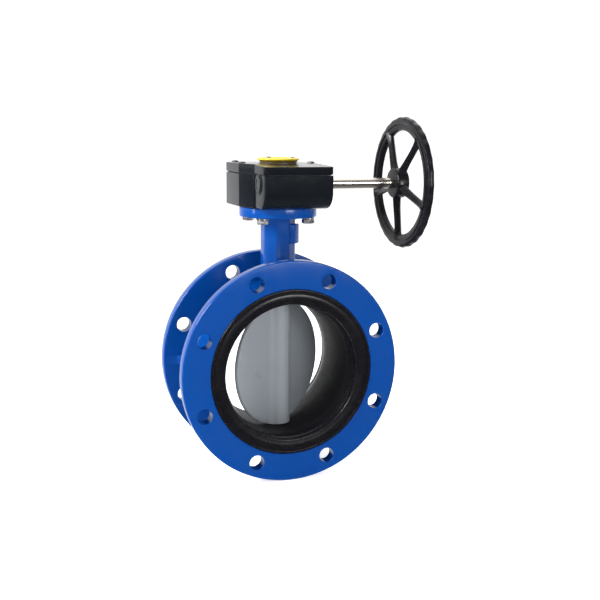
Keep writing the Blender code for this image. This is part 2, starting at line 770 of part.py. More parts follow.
def indicator():
    """The dial: a raised rim round a sunk face, with a pointer bar along the disc's plane."""
    rim = 0.004
    outline = (
        (0.0, DIAL_HIGH - DIAL_EDGE),
        (DIAL_RADIUS - rim - DIAL_EDGE, DIAL_HIGH - DIAL_EDGE),
        (DIAL_RADIUS - rim, DIAL_HIGH),
        (DIAL_RADIUS - DIAL_EDGE, DIAL_HIGH),
        (DIAL_RADIUS, DIAL_HIGH - DIAL_EDGE),
        (DIAL_RADIUS, DIAL_LOW),
        (0.0, DIAL_LOW),
    )
    dial = turned("indicator", outline, closed=False, steps=32)
    low = DIAL_HIGH - 2 * DIAL_EDGE
    reach = DIAL_RADIUS * 0.8
    half_width = 0.0025
    unite(dial, block("pointer", (-reach, -half_width, low), (reach, half_width, DIAL_HIGH - GAP)))
    cut(dial, *dial_screw_holes(DIAL_LOW - OVERRUN))
    place(dial, YELLOW_PLASTIC, DISC_TRAIN)


def indicator_seal():
    inner = TOP_HUB_RADIUS + GAP
    outer = TOP_HUB_RADIUS + SEAL_WALL
    seal = ring("indicator_seal", inner, outer, COVER_LOW + 0.008, COVER_HIGH - 0.0005, steps=24)
    place(seal, RUBBER, CASING)


def indicator_screws():
    low = DIAL_HIGH - DIAL_EDGE + GAP
    head = 0.0038
    height = 0.0042
    outline = (
        (0.0, low + height),
        (head * 0.7, low + height * 0.95),
        (head, low + height * 0.67),
        (head, low),
        (DIAL_SCREW_RADIUS, low),
        (DIAL_SCREW_RADIUS, DIAL_SCREW_LOW),
        (0.0, DIAL_SCREW_LOW),
    )
    screw = turned("indicator_screw", outline, closed=False, steps=10)
    copies(screw, STEEL, DISC_TRAIN, dial_screw_centres())


def mounting_bolts():
    """Four bolts with washers, from under the top flange up into the gearbox."""
    washer_high = TOP_FLANGE_LOW - GAP
    washer_low = washer_high - 0.002
    head_high = washer_low - GAP
    head_low = head_high - 0.0064
    bolt = rod("mounting_bolt", 0.0098, head_low, head_high, segments=6)
    soften(bolt, 0.0006)
    unite(bolt, rod("shank", BOLT_RADIUS, head_high - 0.003, BOLT_TOP, segments=16))
    copies(bolt, ZINC, CASING, top_bolt_centres())
    washer = ring("mounting_washer", BOLT_RADIUS + 0.0004, BOLT_RADIUS * 2, washer_low, washer_high, steps=14)
    copies(washer, ZINC, CASING, top_bolt_centres())


def stops():
    """Travel stops: a screw and its lock nut on each side of the rear wall."""
    overhang = SECTOR_HALF_ANGLE - math.radians(45)
    tip = (STOP_X + STOP_RADIUS) * math.tan(overhang) + 0.0004
    end = GEARBOX_REAR + 0.016
    places = [(x, 0, WORM_HEIGHT) for x in (-STOP_X, STOP_X)]
    bolt = rod("stop_bolt", STOP_RADIUS, tip, end, "Y", segments=16)
    soften(bolt, 0.0005)
    cut(bolt, rod("socket", 0.0023, end - 0.004, end + OVERRUN, "Y", segments=6))
    copies(bolt, STEEL, CASING, places)
    nut_low = GEARBOX_REAR + GAP
    nut = rod("stop_nut", 0.0075, nut_low, nut_low + 0.0065, "Y", segments=6)
    soften(nut, 0.0006)
    cut(nut, rod("hole", STOP_RADIUS + GAP, nut_low - OVERRUN, nut_low + CROSSING, "Y", segments=16))
    copies(nut, ZINC, CASING, places)


def worm_thread():
    """The helical ridge, wound from a tooth profile whose crest passes the sector half a pitch off centre."""
    base = WORM_PITCH_RADIUS - DEDENDUM - 0.0013
    crest = WORM_PITCH_RADIUS + ADDENDUM
    base_half = TOOTH_HALF_WIDTH + DEDENDUM * FLANK_SLOPE
    crest_half = TOOTH_HALF_WIDTH - ADDENDUM * FLANK_SLOPE
    turns = 4.75
    start = 2.5 * WORM_PITCH
    steps = 14
    profile = ((crest, crest_half), (crest, -crest_half), (base, -base_half), (base, base_half))
    bm = bmesh.new()
    corners = [bm.verts.new((radius, 0, start + along)) for radius, along in profile]
    face = bm.faces.new(corners)
    count = int(turns * steps)
    step = 2 * math.pi * turns / count
    drop = -WORM_PITCH * turns / count
    geometry = [face, *face.edges, *corners]
    bmesh.ops.spin(
        bm, geom=geometry, cent=(0, 0, 0), axis=(0, 0, 1), dvec=(0, 0, drop), angle=step * count, steps=count
    )
    bmesh.ops.recalc_face_normals(bm, faces=bm.faces)
    bmesh.ops.transform(bm, verts=bm.verts, matrix=ALONG["X"])
    return from_bmesh("thread", bm)


def worm():
    """The worm, and the pin that holds it on the shaft."""
    core = rod("worm", WORM_PITCH_RADIUS - DEDENDUM, WORM_LEFT, WORM_RIGHT, "X")
    unite(core, worm_thread())
    bore = rod("bore", SHAFT_RADIUS + GAP, WORM_LEFT - OVERRUN, WORM_RIGHT + OVERRUN, "X")
    at = (WORM_PIN_X, 0, 0)
    cut(core, bore, rod("pin_hole", WORM_PIN_RADIUS + GAP, -CROSSING, CROSSING, "Y", at, 12))
    place(core, STEEL, WHEEL_TRAIN)
    half_length = 0.0128
    place(rod("worm_pin", WORM_PIN_RADIUS, -half_length, half_length, "Y", at, 12), STEEL, WHEEL_TRAIN)


def input_shaft():
    shaft = chamfered_bar("input_shaft", SHAFT_RADIUS, SHAFT_LEFT, SHAFT_RIGHT, 0.001, "X", steps=20)
    for x, radius in ((WORM_PIN_X, WORM_PIN_RADIUS), (WHEEL_PIN_X, WHEEL_PIN_RADIUS)):
        cut(shaft, rod("pin_hole", radius + GAP, -CROSSING, CROSSING, "Y", (x, 0, 0), 12))
    place(shaft, STAINLESS, WHEEL_TRAIN)


def shaft_supports():
    """The two bearings and the seal round the shaft."""
    axis = (0, WORM_Y, WORM_HEIGHT)
    inner = SHAFT_RADIUS + GAP
    near = TUNNEL_HALF_LENGTH + 0.001
    far = near + 0.011
    for name, low, high in (("worm_bearing_left", -far, -near), ("worm_bearing_right", near, far)):
        place(ring(name, inner, BEARING_RADIUS, low, high, "X", 24), BRONZE, CASING, axis)
    seal = ring("shaft_seal", inner, BEARING_RADIUS, far + 0.0005, far + 0.0075, "X", 24)
    place(seal, RUBBER, CASING, axis)


def worm_end_cap():
    """The plug that closes the shaft bore at the left, with a thin flange."""
    face = WORM_BLOCK_LEFT - GAP
    inside = -0.0466
    flange = 0.0135
    edge = 0.0008
    outer = face - 0.0018
    outline = (
        (0.0, inside),
        (BEARING_RADIUS, inside),
        (BEARING_RADIUS, face),
        (flange, face),
        (flange, outer + edge),
        (flange - edge, outer),
        (0.0, outer),
    )
    cap = turned("worm_end_cap", outline, "X", closed=False, steps=20)
    place(cap, BLACK_PAINT, CASING, (0, WORM_Y, WORM_HEIGHT))


def spoke(angle):
    """One round tapered arm from the hub out to the rim, leaning away from the gearbox."""
    start = Vector((WHEEL_HUB_RADIUS * 0.65, 0, (HUB_LEFT + HUB_RIGHT) / 2))
    end = Vector((WHEEL_RADIUS - RIM_HALF_DEPTH, 0, RIM_X - 0.001))
    arm = end - start
    lean = arm.to_track_quat("Z", "Y").to_matrix().to_4x4()
    along = ALONG["X"] @ Matrix.Rotation(angle, 4, "Z") @ Matrix.Translation((start + end) / 2) @ lean
    bm = bmesh.new()
    bmesh.ops.create_cone(
        bm,
        cap_ends=True,
        segments=8,
        radius1=SPOKE_ROOT_RADIUS,
        radius2=SPOKE_TIP_RADIUS,
        depth=arm.length,
        matrix=along,
    )
    return from_bmesh("spoke", bm)


def handwheel_rim():
    """The oval rim, clockwise in section so that its faces point outwards."""
    ring_radius = WHEEL_RADIUS - RIM_HALF_DEPTH
    sides = 8
    outline = []
    for i in range(sides):
        angle = -2 * math.pi * i / sides
        across = RIM_X + RIM_HALF_WIDTH * math.sin(angle)
        outline.append((ring_radius + RIM_HALF_DEPTH * math.cos(angle), across))
    return turned("handwheel", outline, "X", steps=40)


def handwheel():
    """Five-spoke wheel, its rim set further out than its hub, and its pin."""
    wheel = handwheel_rim()
    hub = chamfered_bar("hub", WHEEL_HUB_RADIUS, HUB_LEFT, HUB_RIGHT, 0.0015, "X")
    first = math.pi / 2 - SPOKE_PHASE
    spokes = [spoke(first + 2 * math.pi * i / SPOKES) for i in range(SPOKES)]
    unite(wheel, hub, *spokes)
    bore = rod("bore", SHAFT_RADIUS + GAP, HUB_LEFT - CROSSING, HUB_RIGHT + CROSSING, "X", segments=20)
    at = (WHEEL_PIN_X, 0, 0)
    reach = WHEEL_HUB_RADIUS + OVERRUN
    cut(wheel, bore, rod("pin_hole", WHEEL_PIN_RADIUS + GAP, -reach, reach, "Y", at, 12))
    place(wheel, BLACK_PAINT, WHEEL_TRAIN)
    half_length = WHEEL_HUB_RADIUS - GAP
    place(rod("handwheel_pin", WHEEL_PIN_RADIUS, -half_length, half_length, "Y", at, 12), STEEL, WHEEL_TRAIN)


def build():
    valve_body()
    seat_liner()
    disc()
    stems()
    stem_key()
    disc_pin()
    stem_supports()
    bottom_plug()
    gearbox_housing()
    gearbox_cover()
    cover_gasket()
    cover_screws()
    worm_wheel()
    wheel_bush()
    indicator()
    indicator_seal()
    indicator_screws()
    mounting_bolts()
    stops()
    worm()
    input_shaft()
    shaft_supports()
    worm_end_cap()
    handwheel()


build()
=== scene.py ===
import json
import math

import bmesh
import bpy
from mathutils import Matrix, Vector


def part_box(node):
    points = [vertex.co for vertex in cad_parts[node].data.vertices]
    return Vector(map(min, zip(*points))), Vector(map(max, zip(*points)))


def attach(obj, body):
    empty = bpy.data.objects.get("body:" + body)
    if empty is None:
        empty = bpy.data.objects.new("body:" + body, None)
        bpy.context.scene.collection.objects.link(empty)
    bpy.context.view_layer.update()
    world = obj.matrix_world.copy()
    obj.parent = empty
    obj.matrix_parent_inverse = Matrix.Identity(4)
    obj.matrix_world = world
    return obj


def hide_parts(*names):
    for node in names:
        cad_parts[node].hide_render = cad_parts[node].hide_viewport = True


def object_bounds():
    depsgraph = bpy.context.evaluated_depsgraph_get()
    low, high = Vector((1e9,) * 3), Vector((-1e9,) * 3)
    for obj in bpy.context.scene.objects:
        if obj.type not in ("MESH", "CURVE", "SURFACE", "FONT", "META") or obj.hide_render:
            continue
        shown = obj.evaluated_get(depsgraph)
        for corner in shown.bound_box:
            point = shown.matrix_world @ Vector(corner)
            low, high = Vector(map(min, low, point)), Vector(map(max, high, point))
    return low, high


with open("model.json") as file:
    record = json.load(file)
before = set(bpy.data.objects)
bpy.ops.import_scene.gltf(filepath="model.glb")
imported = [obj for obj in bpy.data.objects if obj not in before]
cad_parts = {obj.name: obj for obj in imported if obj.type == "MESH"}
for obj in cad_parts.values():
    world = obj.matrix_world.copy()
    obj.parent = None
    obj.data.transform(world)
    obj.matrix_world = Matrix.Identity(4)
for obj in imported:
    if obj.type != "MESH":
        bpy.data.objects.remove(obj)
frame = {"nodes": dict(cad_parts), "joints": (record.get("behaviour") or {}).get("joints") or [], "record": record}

CAD_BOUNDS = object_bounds()

# Driving sizes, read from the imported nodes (metres)
BODY_LOW, BODY_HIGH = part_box("valve_body")
LINER_LOW, LINER_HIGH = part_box("seat_liner")
HOUSING_LOW, HOUSING_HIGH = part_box("gearbox_housing")
COVER_LOW, COVER_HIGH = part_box("gearbox_cover")
WHEEL_LOW, WHEEL_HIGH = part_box("handwheel")
SHAFT_LOW, SHAFT_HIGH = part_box("input_shaft")
DIAL_LOW, DIAL_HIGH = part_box("indicator")
JOINTS = {joint["name"]: joint for joint in frame["joints"]}
OPENING = -math.radians(JOINTS["disc_turn"]["range_deg"][0])
SHAFT_AXIS = Vector(JOINTS["wheel_turn"]["pos_m"])

SHAFT_RADIUS = (SHAFT_HIGH.z - SHAFT_LOW.z) / 2

# The side from which the object is seen, turned from straight ahead
VIEW_AZIMUTH = math.radians(-19.84)

# Sizes that the boxes don't give (metres)
GAP = 0.0003
FLANGE_RADIUS = BODY_HIGH.x
FACE = BODY_HIGH.y
FLANGE_THICKNESS = 0.020
BOLT_CIRCLE_RADIUS = 0.1475
BOLT_HOLE_RADIUS = 0.0115
BOLT_HOLES = 8
SHELL_RADIUS = 0.117
SINK = 0.009
BOSS_RADIUS = 0.030
BOSS_LOW = -0.150
RIB_REACH = 0.158
RIB_WAIST = 0.136
LINER_RADIUS = 0.107
LIP_RADIUS = LINER_HIGH.x
LIP_DEPTH = 0.003
BORE_RADIUS = 0.100
MOUTH_RADIUS = 0.1045
GROOVE_RADIUS = 0.1218
NECK_HALF_FLATS = 0.0248
TOP_FLANGE_RADIUS = 0.0595
TOP_FLANGE_HIGH = BODY_HIGH.z
TOP_FLANGE_LOW = TOP_FLANGE_HIGH - 0.015
TOP_BOLT_REACH = 0.051 / math.sqrt(2)
TOP_BOLT_SIDES = (-TOP_BOLT_REACH, TOP_BOLT_REACH)
TOP_BOLT_CENTRES = [(x, y) for x in TOP_BOLT_SIDES for y in TOP_BOLT_SIDES]
TOP_BOLT_RADIUS = 0.005
STEM_RADIUS = 0.011
BUSH_RADIUS = 0.014
SEAL_RADIUS = 0.0167
SEAL_LOW = 0.206
DISC_RADIUS = BORE_RADIUS - GAP
DISC_HALF = 0.0045
HUB_RADIUS = 0.020
HUB_FILLET = 0.014
HUB_STEEP_FILLET = 0.003
DISC_PIN_RADIUS = 0.004
WORM_BLOCK_LEFT = -0.050
WORM_BLOCK_RIGHT = 0.054
WORM_BLOCK_REAR = -0.025
WORM_TUNNEL_RADIUS = 0.022
WORM_BOSS_PROUD = 0.0008
SHAFT_SEAT_RADIUS = 0.012
GEAR_CHAMBER_RADIUS = 0.051
COVER_SCREW_RADIUS = 0.003
STOP_REACH = 0.036
STOP_RADIUS = 0.004
DIAL_FACE_DROP = 0.0015
DIAL_SEAT_PROUD = 0.0003
DIAL_SCREW_RADIUS = 0.002
DIAL_SCREW_CROWN = 0.0008
WORM_PIN_RADIUS = 0.002
WHEEL_PIN_RADIUS = 0.0025

# Turns that lay a shape drawn up the Z axis along the named axis
ALONG = {
    "X": Matrix(((0, 0, 1), (1, 0, 0), (0, 1, 0))).to_4x4(),
    "Y": Matrix.Rotation(-math.pi / 2, 4, "X"),
    "Z": Matrix.Identity(4),
}

PIECES = bpy.data.collections.new("pieces")
bpy.context.scene.collection.children.link(PIECES)


# ---------------------------------------------------------------- materials


class Look:
    """A Principled material whose colour, roughness and bump come from layers of noise."""

    def __init__(self, name, colour, roughness, metallic=0.0, specular=0.5):
        self.material = bpy.data.materials.new(name)
        self.material.use_nodes = True
        self.tree = self.material.node_tree
        self.shader = self.tree.nodes["Principled BSDF"]
        self.shader.inputs["Base Color"].default_value = (*colour, 1.0)
        self.shader.inputs["Roughness"].default_value = roughness
        self.shader.inputs["Metallic"].default_value = metallic
        self.shader.inputs["Specular IOR Level"].default_value = specular
        self.colour = colour
        self.roughness = roughness
        self.place = self.tree.nodes.new("ShaderNodeTexCoord").outputs["Object"]
        self.bump = None
        self.paint = None

    def stretched(self, scale):
        """The place on the object, scaled on its own along each axis."""
        mapping = self.tree.nodes.new("ShaderNodeMapping")
        mapping.inputs["Scale"].default_value = scale
        self.tree.links.new(self.place, mapping.inputs["Vector"])
        return mapping.outputs["Vector"]

    def noise(self, scale, detail=2.0, stretch=None):
        """Noise with about this many grains to a metre."""
        node = self.tree.nodes.new("ShaderNodeTexNoise")
        node.inputs["Scale"].default_value = scale
        node.inputs["Detail"].default_value = detail
        source = self.stretched(stretch) if stretch else self.place
        self.tree.links.new(source, node.inputs["Vector"])
        return node.outputs["Fac"]

    def ramp(self, fac, low, high, start=0.0, end=1.0):
        """fac between start and end, mapped to low and high."""
        node = self.tree.nodes.new("ShaderNodeMapRange")
        node.inputs["From Min"].default_value = start
        node.inputs["From Max"].default_value = end
        node.inputs["To Min"].default_value = low
        node.inputs["To Max"].default_value = high
        self.tree.links.new(fac, node.inputs["Value"])
        return node.outputs["Result"]

    def tint(self, fac, colour):
        """Mixes another colour into the surface where fac is high."""
        node = self.tree.nodes.new("ShaderNodeMix")
        node.data_type = "RGBA"
        base = node.inputs[6]
        if self.paint is None:
            base.default_value = (*self.colour, 1.0)
        else:
            self.tree.links.new(self.paint, base)
        node.inputs[7].default_value = (*colour, 1.0)
        self.tree.links.new(fac, node.inputs["Factor"])
        self.paint = node.outputs[2]
        self.tree.links.new(self.paint, self.shader.inputs["Base Color"])

    def uneven_gloss(self, fac, spread):
        """Varies the roughness by the spread either way."""
        low = max(self.roughness - spread, 0.02)
        gloss = self.ramp(fac, low, self.roughness + spread, 0.25, 0.75)
        self.tree.links.new(gloss, self.shader.inputs["Roughness"])

    def along(self, axis):
        """A point's place along one axis of the object."""
        split = self.tree.nodes.new("ShaderNodeSeparateXYZ")
        self.tree.links.new(self.place, split.inputs["Vector"])
        return split.outputs[axis]

    def math(self, operation, *values):
        """One arithmetic operation on sockets or plain numbers."""
        node = self.tree.nodes.new("ShaderNodeMath")
        node.operation = operation
        for socket, value in zip(node.inputs, values):
            if isinstance(value, (int, float)):
                socket.default_value = value
            else:
                self.tree.links.new(value, socket)
        return node.outputs["Value"]

    def shade_roughness(self, base, fac, spread):
        """A roughness that changes from place to place, with uneven gloss on top."""
        grain = self.ramp(fac, -spread, spread, 0.25, 0.75)
        self.tree.links.new(self.math("ADD", base, grain), self.shader.inputs["Roughness"])

    def relief(self, fac, depth):
        """Adds a bump of the given depth in metres over the ones before."""
        node = self.tree.nodes.new("ShaderNodeBump")
        node.inputs["Strength"].default_value = 1.0
        node.inputs["Distance"].default_value = depth
        self.tree.links.new(fac, node.inputs["Height"])
        if self.bump is not None:
            self.tree.links.new(self.bump, node.inputs["Normal"])
        self.bump = node.outputs["Normal"]
        self.tree.links.new(self.bump, self.shader.inputs["Normal"])

    def edge_wear_and_highlight(self, colour, amount=0.5):
        """Tints the ridges of the mesh, found by their pointiness, with another colour: worn edges, which on the
        hand wheel also stand in as a painted highlight.
        """
        geometry = self.tree.nodes.new("ShaderNodeNewGeometry")
        ridge = self.ramp(geometry.outputs["Pointiness"], 0.0, amount, 0.52, 0.60)
        patches = self.ramp(self.noise(180, 4.0), 0.0, 1.0, 0.45, 0.62)
        self.tint(self.math("MULTIPLY", ridge, patches), colour)


def epoxy():
    """Glossy blue with faint patches and a fine orange-peel relief."""
    look = Look("blue_epoxy", (0.0008, 0.037, 0.190), 0.15, specular=0.26)
    look.tint(look.ramp(look.noise(9, 3.0), 0.0, 0.35, 0.35, 0.7), (0.0010, 0.043, 0.215))
    look.tint(look.ramp(look.noise(420, 2.0), 0.0, 0.12, 0.62, 0.8), (0.004, 0.085, 0.34))
    look.uneven_gloss(look.noise(60, 4.0), 0.05)
    look.relief(look.noise(240, 2.0), 0.00006)
    look.relief(look.noise(900, 1.0), 0.000008)
    return look.material


def rubber():
    """Black, dull inside the bore and glossier towards the two lips."""
    look = Look("black_rubber", (0.0038, 0.0034, 0.0050), 0.26, specular=0.22)
    look.tint(look.ramp(look.noise(35, 4.0), 0.0, 0.5, 0.45, 0.75), (0.0065, 0.0060, 0.0078))
    from_middle = look.math("ABSOLUTE", look.along("Y"))
    look.shade_roughness(look.ramp(from_middle, 0.55, 0.26, 0.040, 0.062), look.noise(90, 5.0), 0.05)
    look.relief(look.noise(500, 2.0), 0.00002)
    return look.material


def disc_coating():
    look = Look("grey_coating", (0.184, 0.201, 0.221), 0.36, specular=0.4)
    look.tint(look.ramp(look.noise(14, 4.0), 0.0, 0.4, 0.4, 0.7), (0.160, 0.177, 0.198))
    look.uneven_gloss(look.noise(50, 4.0), 0.06)
    look.relief(look.noise(160, 2.0), 0.00022)
    look.relief(look.noise(800, 2.0), 0.00004)
    return look.material


def gearbox_paint():
    look = Look("gearbox_paint", (0.0042, 0.0054, 0.0072), 0.13, specular=0.12)
    look.tint(look.ramp(look.noise(25, 4.0), 0.0, 0.5, 0.45, 0.75), (0.0072, 0.0092, 0.0118))
    look.uneven_gloss(look.noise(70, 4.0), 0.05)
    look.relief(look.noise(130, 2.0), 0.00008)
    look.relief(look.noise(600, 1.0), 0.000012)
    return look.material


def wheel_paint():
    look = Look("wheel_paint", (0.0045, 0.0045, 0.0058), 0.24, specular=0.16)
    look.tint(look.ramp(look.noise(40, 4.0), 0.0, 0.5, 0.45, 0.75), (0.008, 0.008, 0.010))
    look.uneven_gloss(look.noise(110, 4.0), 0.06)
    look.relief(look.noise(150, 2.0), 0.00010)
    # Worn paint and painted highlight: the ridges of the rim and spokes are made a lighter grey.
    look.edge_wear_and_highlight((0.03, 0.03, 0.034), 0.12)
    return look.material


def stainless():
    """Bright steel with turning marks round the X axis."""
    look = Look("stainless", (0.600, 0.560, 0.505), 0.20, 1.0)
    look.tint(look.ramp(look.noise(22, 3.0), 0.0, 0.5, 0.4, 0.7), (0.520, 0.480, 0.425))
    turning = look.noise(1.0, 2.0, (700, 6, 6))
    look.uneven_gloss(turning, 0.03)
    look.relief(turning, 0.0000005)
    return look.material


def dark_steel():
    look = Look("dark_steel", (0.055, 0.055, 0.060), 0.38, 0.9)
    look.tint(look.ramp(look.noise(220, 4.0), 0.0, 0.8, 0.5, 0.7), (0.12, 0.11, 0.10))
    look.uneven_gloss(look.noise(300, 3.0), 0.10)
    look.relief(look.noise(700, 2.0), 0.00003)
    look.edge_wear_and_highlight((0.35, 0.34, 0.33), 0.6)
    return look.material


def zinc():
    look = Look("zinc_plate", (0.66, 0.66, 0.67), 0.24, 1.0)
    look.tint(look.ramp(look.noise(160, 2.0), 0.0, 0.6, 0.4, 0.7), (0.58, 0.57, 0.52))
    look.uneven_gloss(look.noise(200, 2.0), 0.06)
    look.relief(look.noise(500, 1.0), 0.000006)
    return look.material


def bronze():
    look = Look("bronze", (0.42, 0.24, 0.10), 0.34, 1.0)
    look.tint(look.ramp(look.noise(90, 4.0), 0.0, 0.6, 0.4, 0.7), (0.26, 0.14, 0.06))
    look.uneven_gloss(look.noise(400, 3.0), 0.08)
    look.relief(look.noise(700, 2.0), 0.00003)
    return look.material


def gear_iron():
    look = Look("gear_iron", (0.16, 0.16, 0.17), 0.36, 0.9)
    look.tint(look.ramp(look.noise(120, 4.0), 0.0, 0.8, 0.5, 0.7), (0.08, 0.06, 0.04))
    look.uneven_gloss(look.noise(250, 3.0), 0.10)
    look.relief(look.noise(500, 3.0), 0.00006)
    return look.material


def dial_plastic():
    """Yellow, with painted shade in dark brown on the skirt below the rim."""
    look = Look("dial_plastic", (0.60, 0.45, 0.020), 0.30, specular=0.3)
    look.tint(look.ramp(look.noise(80, 3.0), 0.0, 0.5, 0.4, 0.7), (0.48, 0.34, 0.016))
    skirt = DIAL_HIGH.z - 0.0040
    # Painted shade: the skirt below the rim is darkened to brown, where the dial's side falls in shade.
    look.tint(look.ramp(look.along("Z"), 0.94, 0.0, skirt - 0.0008, skirt), (0.060, 0.036, 0.014))
    look.uneven_gloss(look.noise(200, 4.0), 0.07)
    look.relief(look.noise(650, 2.0), 0.00005)
    look.edge_wear_and_highlight((0.70, 0.58, 0.20), 0.3)
    return look.material


def gasket_sheet():
    look = Look("gasket_sheet", (0.015, 0.015, 0.015), 0.75)
    look.tint(look.ramp(look.noise(700, 3.0), 0.0, 0.7, 0.45, 0.7), (0.035, 0.033, 0.030))
    look.relief(look.noise(1200, 3.0), 0.00006)
    return look.material


LOOKS = {
    "body_epoxy": epoxy(),
    "liner_rubber": rubber(),
    "disc_coating": disc_coating(),
    "gearbox_paint": gearbox_paint(),
    "wheel_paint": wheel_paint(),
    "stainless": stainless(),
    "dark_steel": dark_steel(),
    "zinc": zinc(),
    "bronze": bronze(),
    "gear_iron": gear_iron(),
    "dial_plastic": dial_plastic(),
    "gasket": gasket_sheet(),
}


def dress_cad_nodes():
    """The CAD nodes that stay get the procedural look of their own slot."""
    for part in frame["record"]["subparts"]:
        mesh = frame["nodes"][part["node"]].data
        mesh.materials.clear()
        mesh.materials.append(LOOKS[part["material_slot"]])


# ---------------------------------------------------------------- mesh tools


def link(name, mesh):
    obj = bpy.data.objects.new(name, mesh)
    PIECES.objects.link(obj)
    return obj


def from_bmesh(name, bm):
    mesh = bpy.data.meshes.new(name)
    bm.to_mesh(mesh)
    bm.free()
    return link(name, mesh)


def settle(obj, angle=32):
    """Fix the modifiers' result as the object's own mesh, smooth but for its real edges."""
    mesh = bpy.data.meshes.new_from_object(obj.evaluated_get(bpy.context.evaluated_depsgraph_get()))
    obj.modifiers.clear()
    obj.data = mesh
    mesh.shade_smooth()
    mesh.set_sharp_from_angle(angle=math.radians(angle))


def transform(obj, matrix):
    obj.data.transform(matrix)


def rod(name, radius, low, high, axis="Z", centre=(0, 0, 0), segments=48, turn=0.0):
    """A cylinder or prism from low to high along the axis."""
    bm = bmesh.new()
    middle = Matrix.Translation((0, 0, (low + high) / 2)) @ Matrix.Rotation(turn, 4, "Z")
    place = Matrix.Translation(centre) @ ALONG[axis] @ middle
    bmesh.ops.create_cone(
        bm, cap_ends=True, segments=segments, radius1=radius, radius2=radius, depth=high - low, matrix=place
    )
    return from_bmesh(name, bm)


def block(name, low, high, turn=0.0):
    """A box between two corners, then turned about the Z axis."""
    low = Vector(low)
    high = Vector(high)
    bm = bmesh.new()
    place = Matrix.Rotation(turn, 4, "Z") @ Matrix.Translation((low + high) / 2)
    bmesh.ops.create_cube(bm, size=1.0, matrix=place @ Matrix.Diagonal((*(high - low), 1.0)))
    return from_bmesh(name, bm)


def turned(name, outline, axis="Z", centre=(0, 0, 0), closed=True, steps=96):
    """A solid of revolution from (radius, height) points that run down the outer side first."""
    mesh = bpy.data.meshes.new(name)
    edges = [(i, i + 1) for i in range(len(outline) - 1)]
    if closed:
        edges.append((len(outline) - 1, 0))
    mesh.from_pydata([(radius, 0.0, height) for radius, height in outline], edges, [])
    obj = link(name, mesh)
    screw = obj.modifiers.new("turn", "SCREW")
    screw.steps = steps
    screw.render_steps = steps
    screw.use_merge_vertices = True
    screw.merge_threshold = 0.00001
    settle(obj)
    transform(obj, Matrix.Translation(centre) @ ALONG[axis])
    return obj


def extruded(name, points, low, high, axis="Z"):
    """A flat outline across the axis, made solid from low to high."""
    bm = bmesh.new()
    face = bm.faces.new([bm.verts.new((across, up, low)) for across, up in points])
    grown = bmesh.ops.extrude_face_region(bm, geom=[face])
    moved = [item for item in grown["geom"] if isinstance(item, bmesh.types.BMVert)]
    bmesh.ops.translate(bm, verts=moved, vec=(0, 0, high - low))
    bmesh.ops.recalc_face_normals(bm, faces=bm.faces)
    bmesh.ops.transform(bm, verts=bm.verts, matrix=ALONG[axis])
    return from_bmesh(name, bm)


def arc(centre, radius, start, end, steps):
    """Points round a centre, from the start to the end in degrees."""
    angles = [math.radians(start + (end - start) * i / steps) for i in range(steps + 1)]
    return [(centre[0] + radius * math.cos(a), centre[1] + radius * math.sin(a)) for a in angles]


def rounded(corners, radius, steps=6):
    """The corners of an outline, each replaced by an arc."""
    points = []
    for i, corner in enumerate(corners):
        here = Vector(corner)
        back = (Vector(corners[i - 1]) - here).normalized()
        ahead = (Vector(corners[(i + 1) % len(corners)]) - here).normalized()
        half = back.angle(ahead) / 2
        centre = here + (back + ahead).normalized() * radius / math.sin(half)
        start = here + back * radius / math.tan(half) - centre
        sweep = (math.pi - 2 * half) * (1 if back.cross(ahead) < 0 else -1)
        for step in range(steps + 1):
            points.append(tuple(centre + Matrix.Rotation(sweep * step / steps, 2) @ start))
    return points


def combine(obj, operation, tools):
    for tool in tools:
        boolean = obj.modifiers.new(tool.name, "BOOLEAN")
        boolean.operation = operation
        boolean.solver = "EXACT"
        boolean.object = tool
        settle(obj)
        bpy.data.objects.remove(tool)
    return obj


def unite(obj, *tools):
    return combine(obj, "UNION", tools)


def cut(obj, *tools):
    return combine(obj, "DIFFERENCE", tools)


def soften(obj, width, segments=3, angle=30):
    """Rounds every edge that turns by more than the angle in degrees."""
    bevel = obj.modifiers.new("soften", "BEVEL")
    bevel.width = width
    bevel.segments = segments
    bevel.limit_method = "ANGLE"
    bevel.angle_limit = math.radians(angle)
    settle(obj)
    return obj


def present(obj, body, slot_name, *nodes):
    """Gives the piece its material and body, in place of the CAD nodes named."""
    obj.data.materials.clear()
    obj.data.materials.append(LOOKS[slot_name])
    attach(obj, body)
    if nodes:
        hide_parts(*nodes)


def twin(obj, name, offset):
    """A copy with a mesh of its own, moved by the offset."""
    copy = link(name, obj.data.copy())
    transform(copy, Matrix.Translation(offset))
    return copy


# ---------------------------------------------------------------- valve body


def shell_profile():
    """The section through both flanges and the shell between them."""
    inside = FACE - FLANGE_THICKNESS
    edge = 0.0022
    fillet = 0.008
    outer = arc((FLANGE_RADIUS - edge, FACE - edge), edge, 90, 0, 4)
    outer += arc((FLANGE_RADIUS - edge, inside + edge), edge, 0, -90, 4)
    outer += arc((SHELL_RADIUS + fillet, inside - fillet), fillet, 90, 180, 6)
    recess = LIP_RADIUS + GAP
    bore = LINER_RADIUS + GAP
    inner = [
        (recess + 0.0008, FACE),
        (recess, FACE - 0.0008),
        (recess, FACE - LIP_DEPTH),
        (bore, FACE - LIP_DEPTH),
    ]
    profile = outer + [(radius, -y) for radius, y in reversed(outer)]
    profile += [(radius, -y) for radius, y in inner]
    return profile + [(radius, y) for radius, y in reversed(inner)]


def bolt_hole_cutter(angle):
    """A hole through both flanges, flared at the four faces."""
    radius = BOLT_HOLE_RADIUS
    flare = 0.0009
    inside = FACE - FLANGE_THICKNESS
    beyond = 0.004
    far = FACE + beyond
    half = [
        (radius + flare + beyond, far),
        (radius, FACE - flare),
        (radius, inside + flare),
        (radius + 2 * flare, inside - flare),
    ]
    profile = [(0, far), *half, *[(r, -y) for r, y in reversed(half)], (0, -far)]
    at = (BOLT_CIRCLE_RADIUS * math.cos(angle), 0, BOLT_CIRCLE_RADIUS * math.sin(angle))
    return turned("hole", profile, "Y", at, closed=False, steps=40)


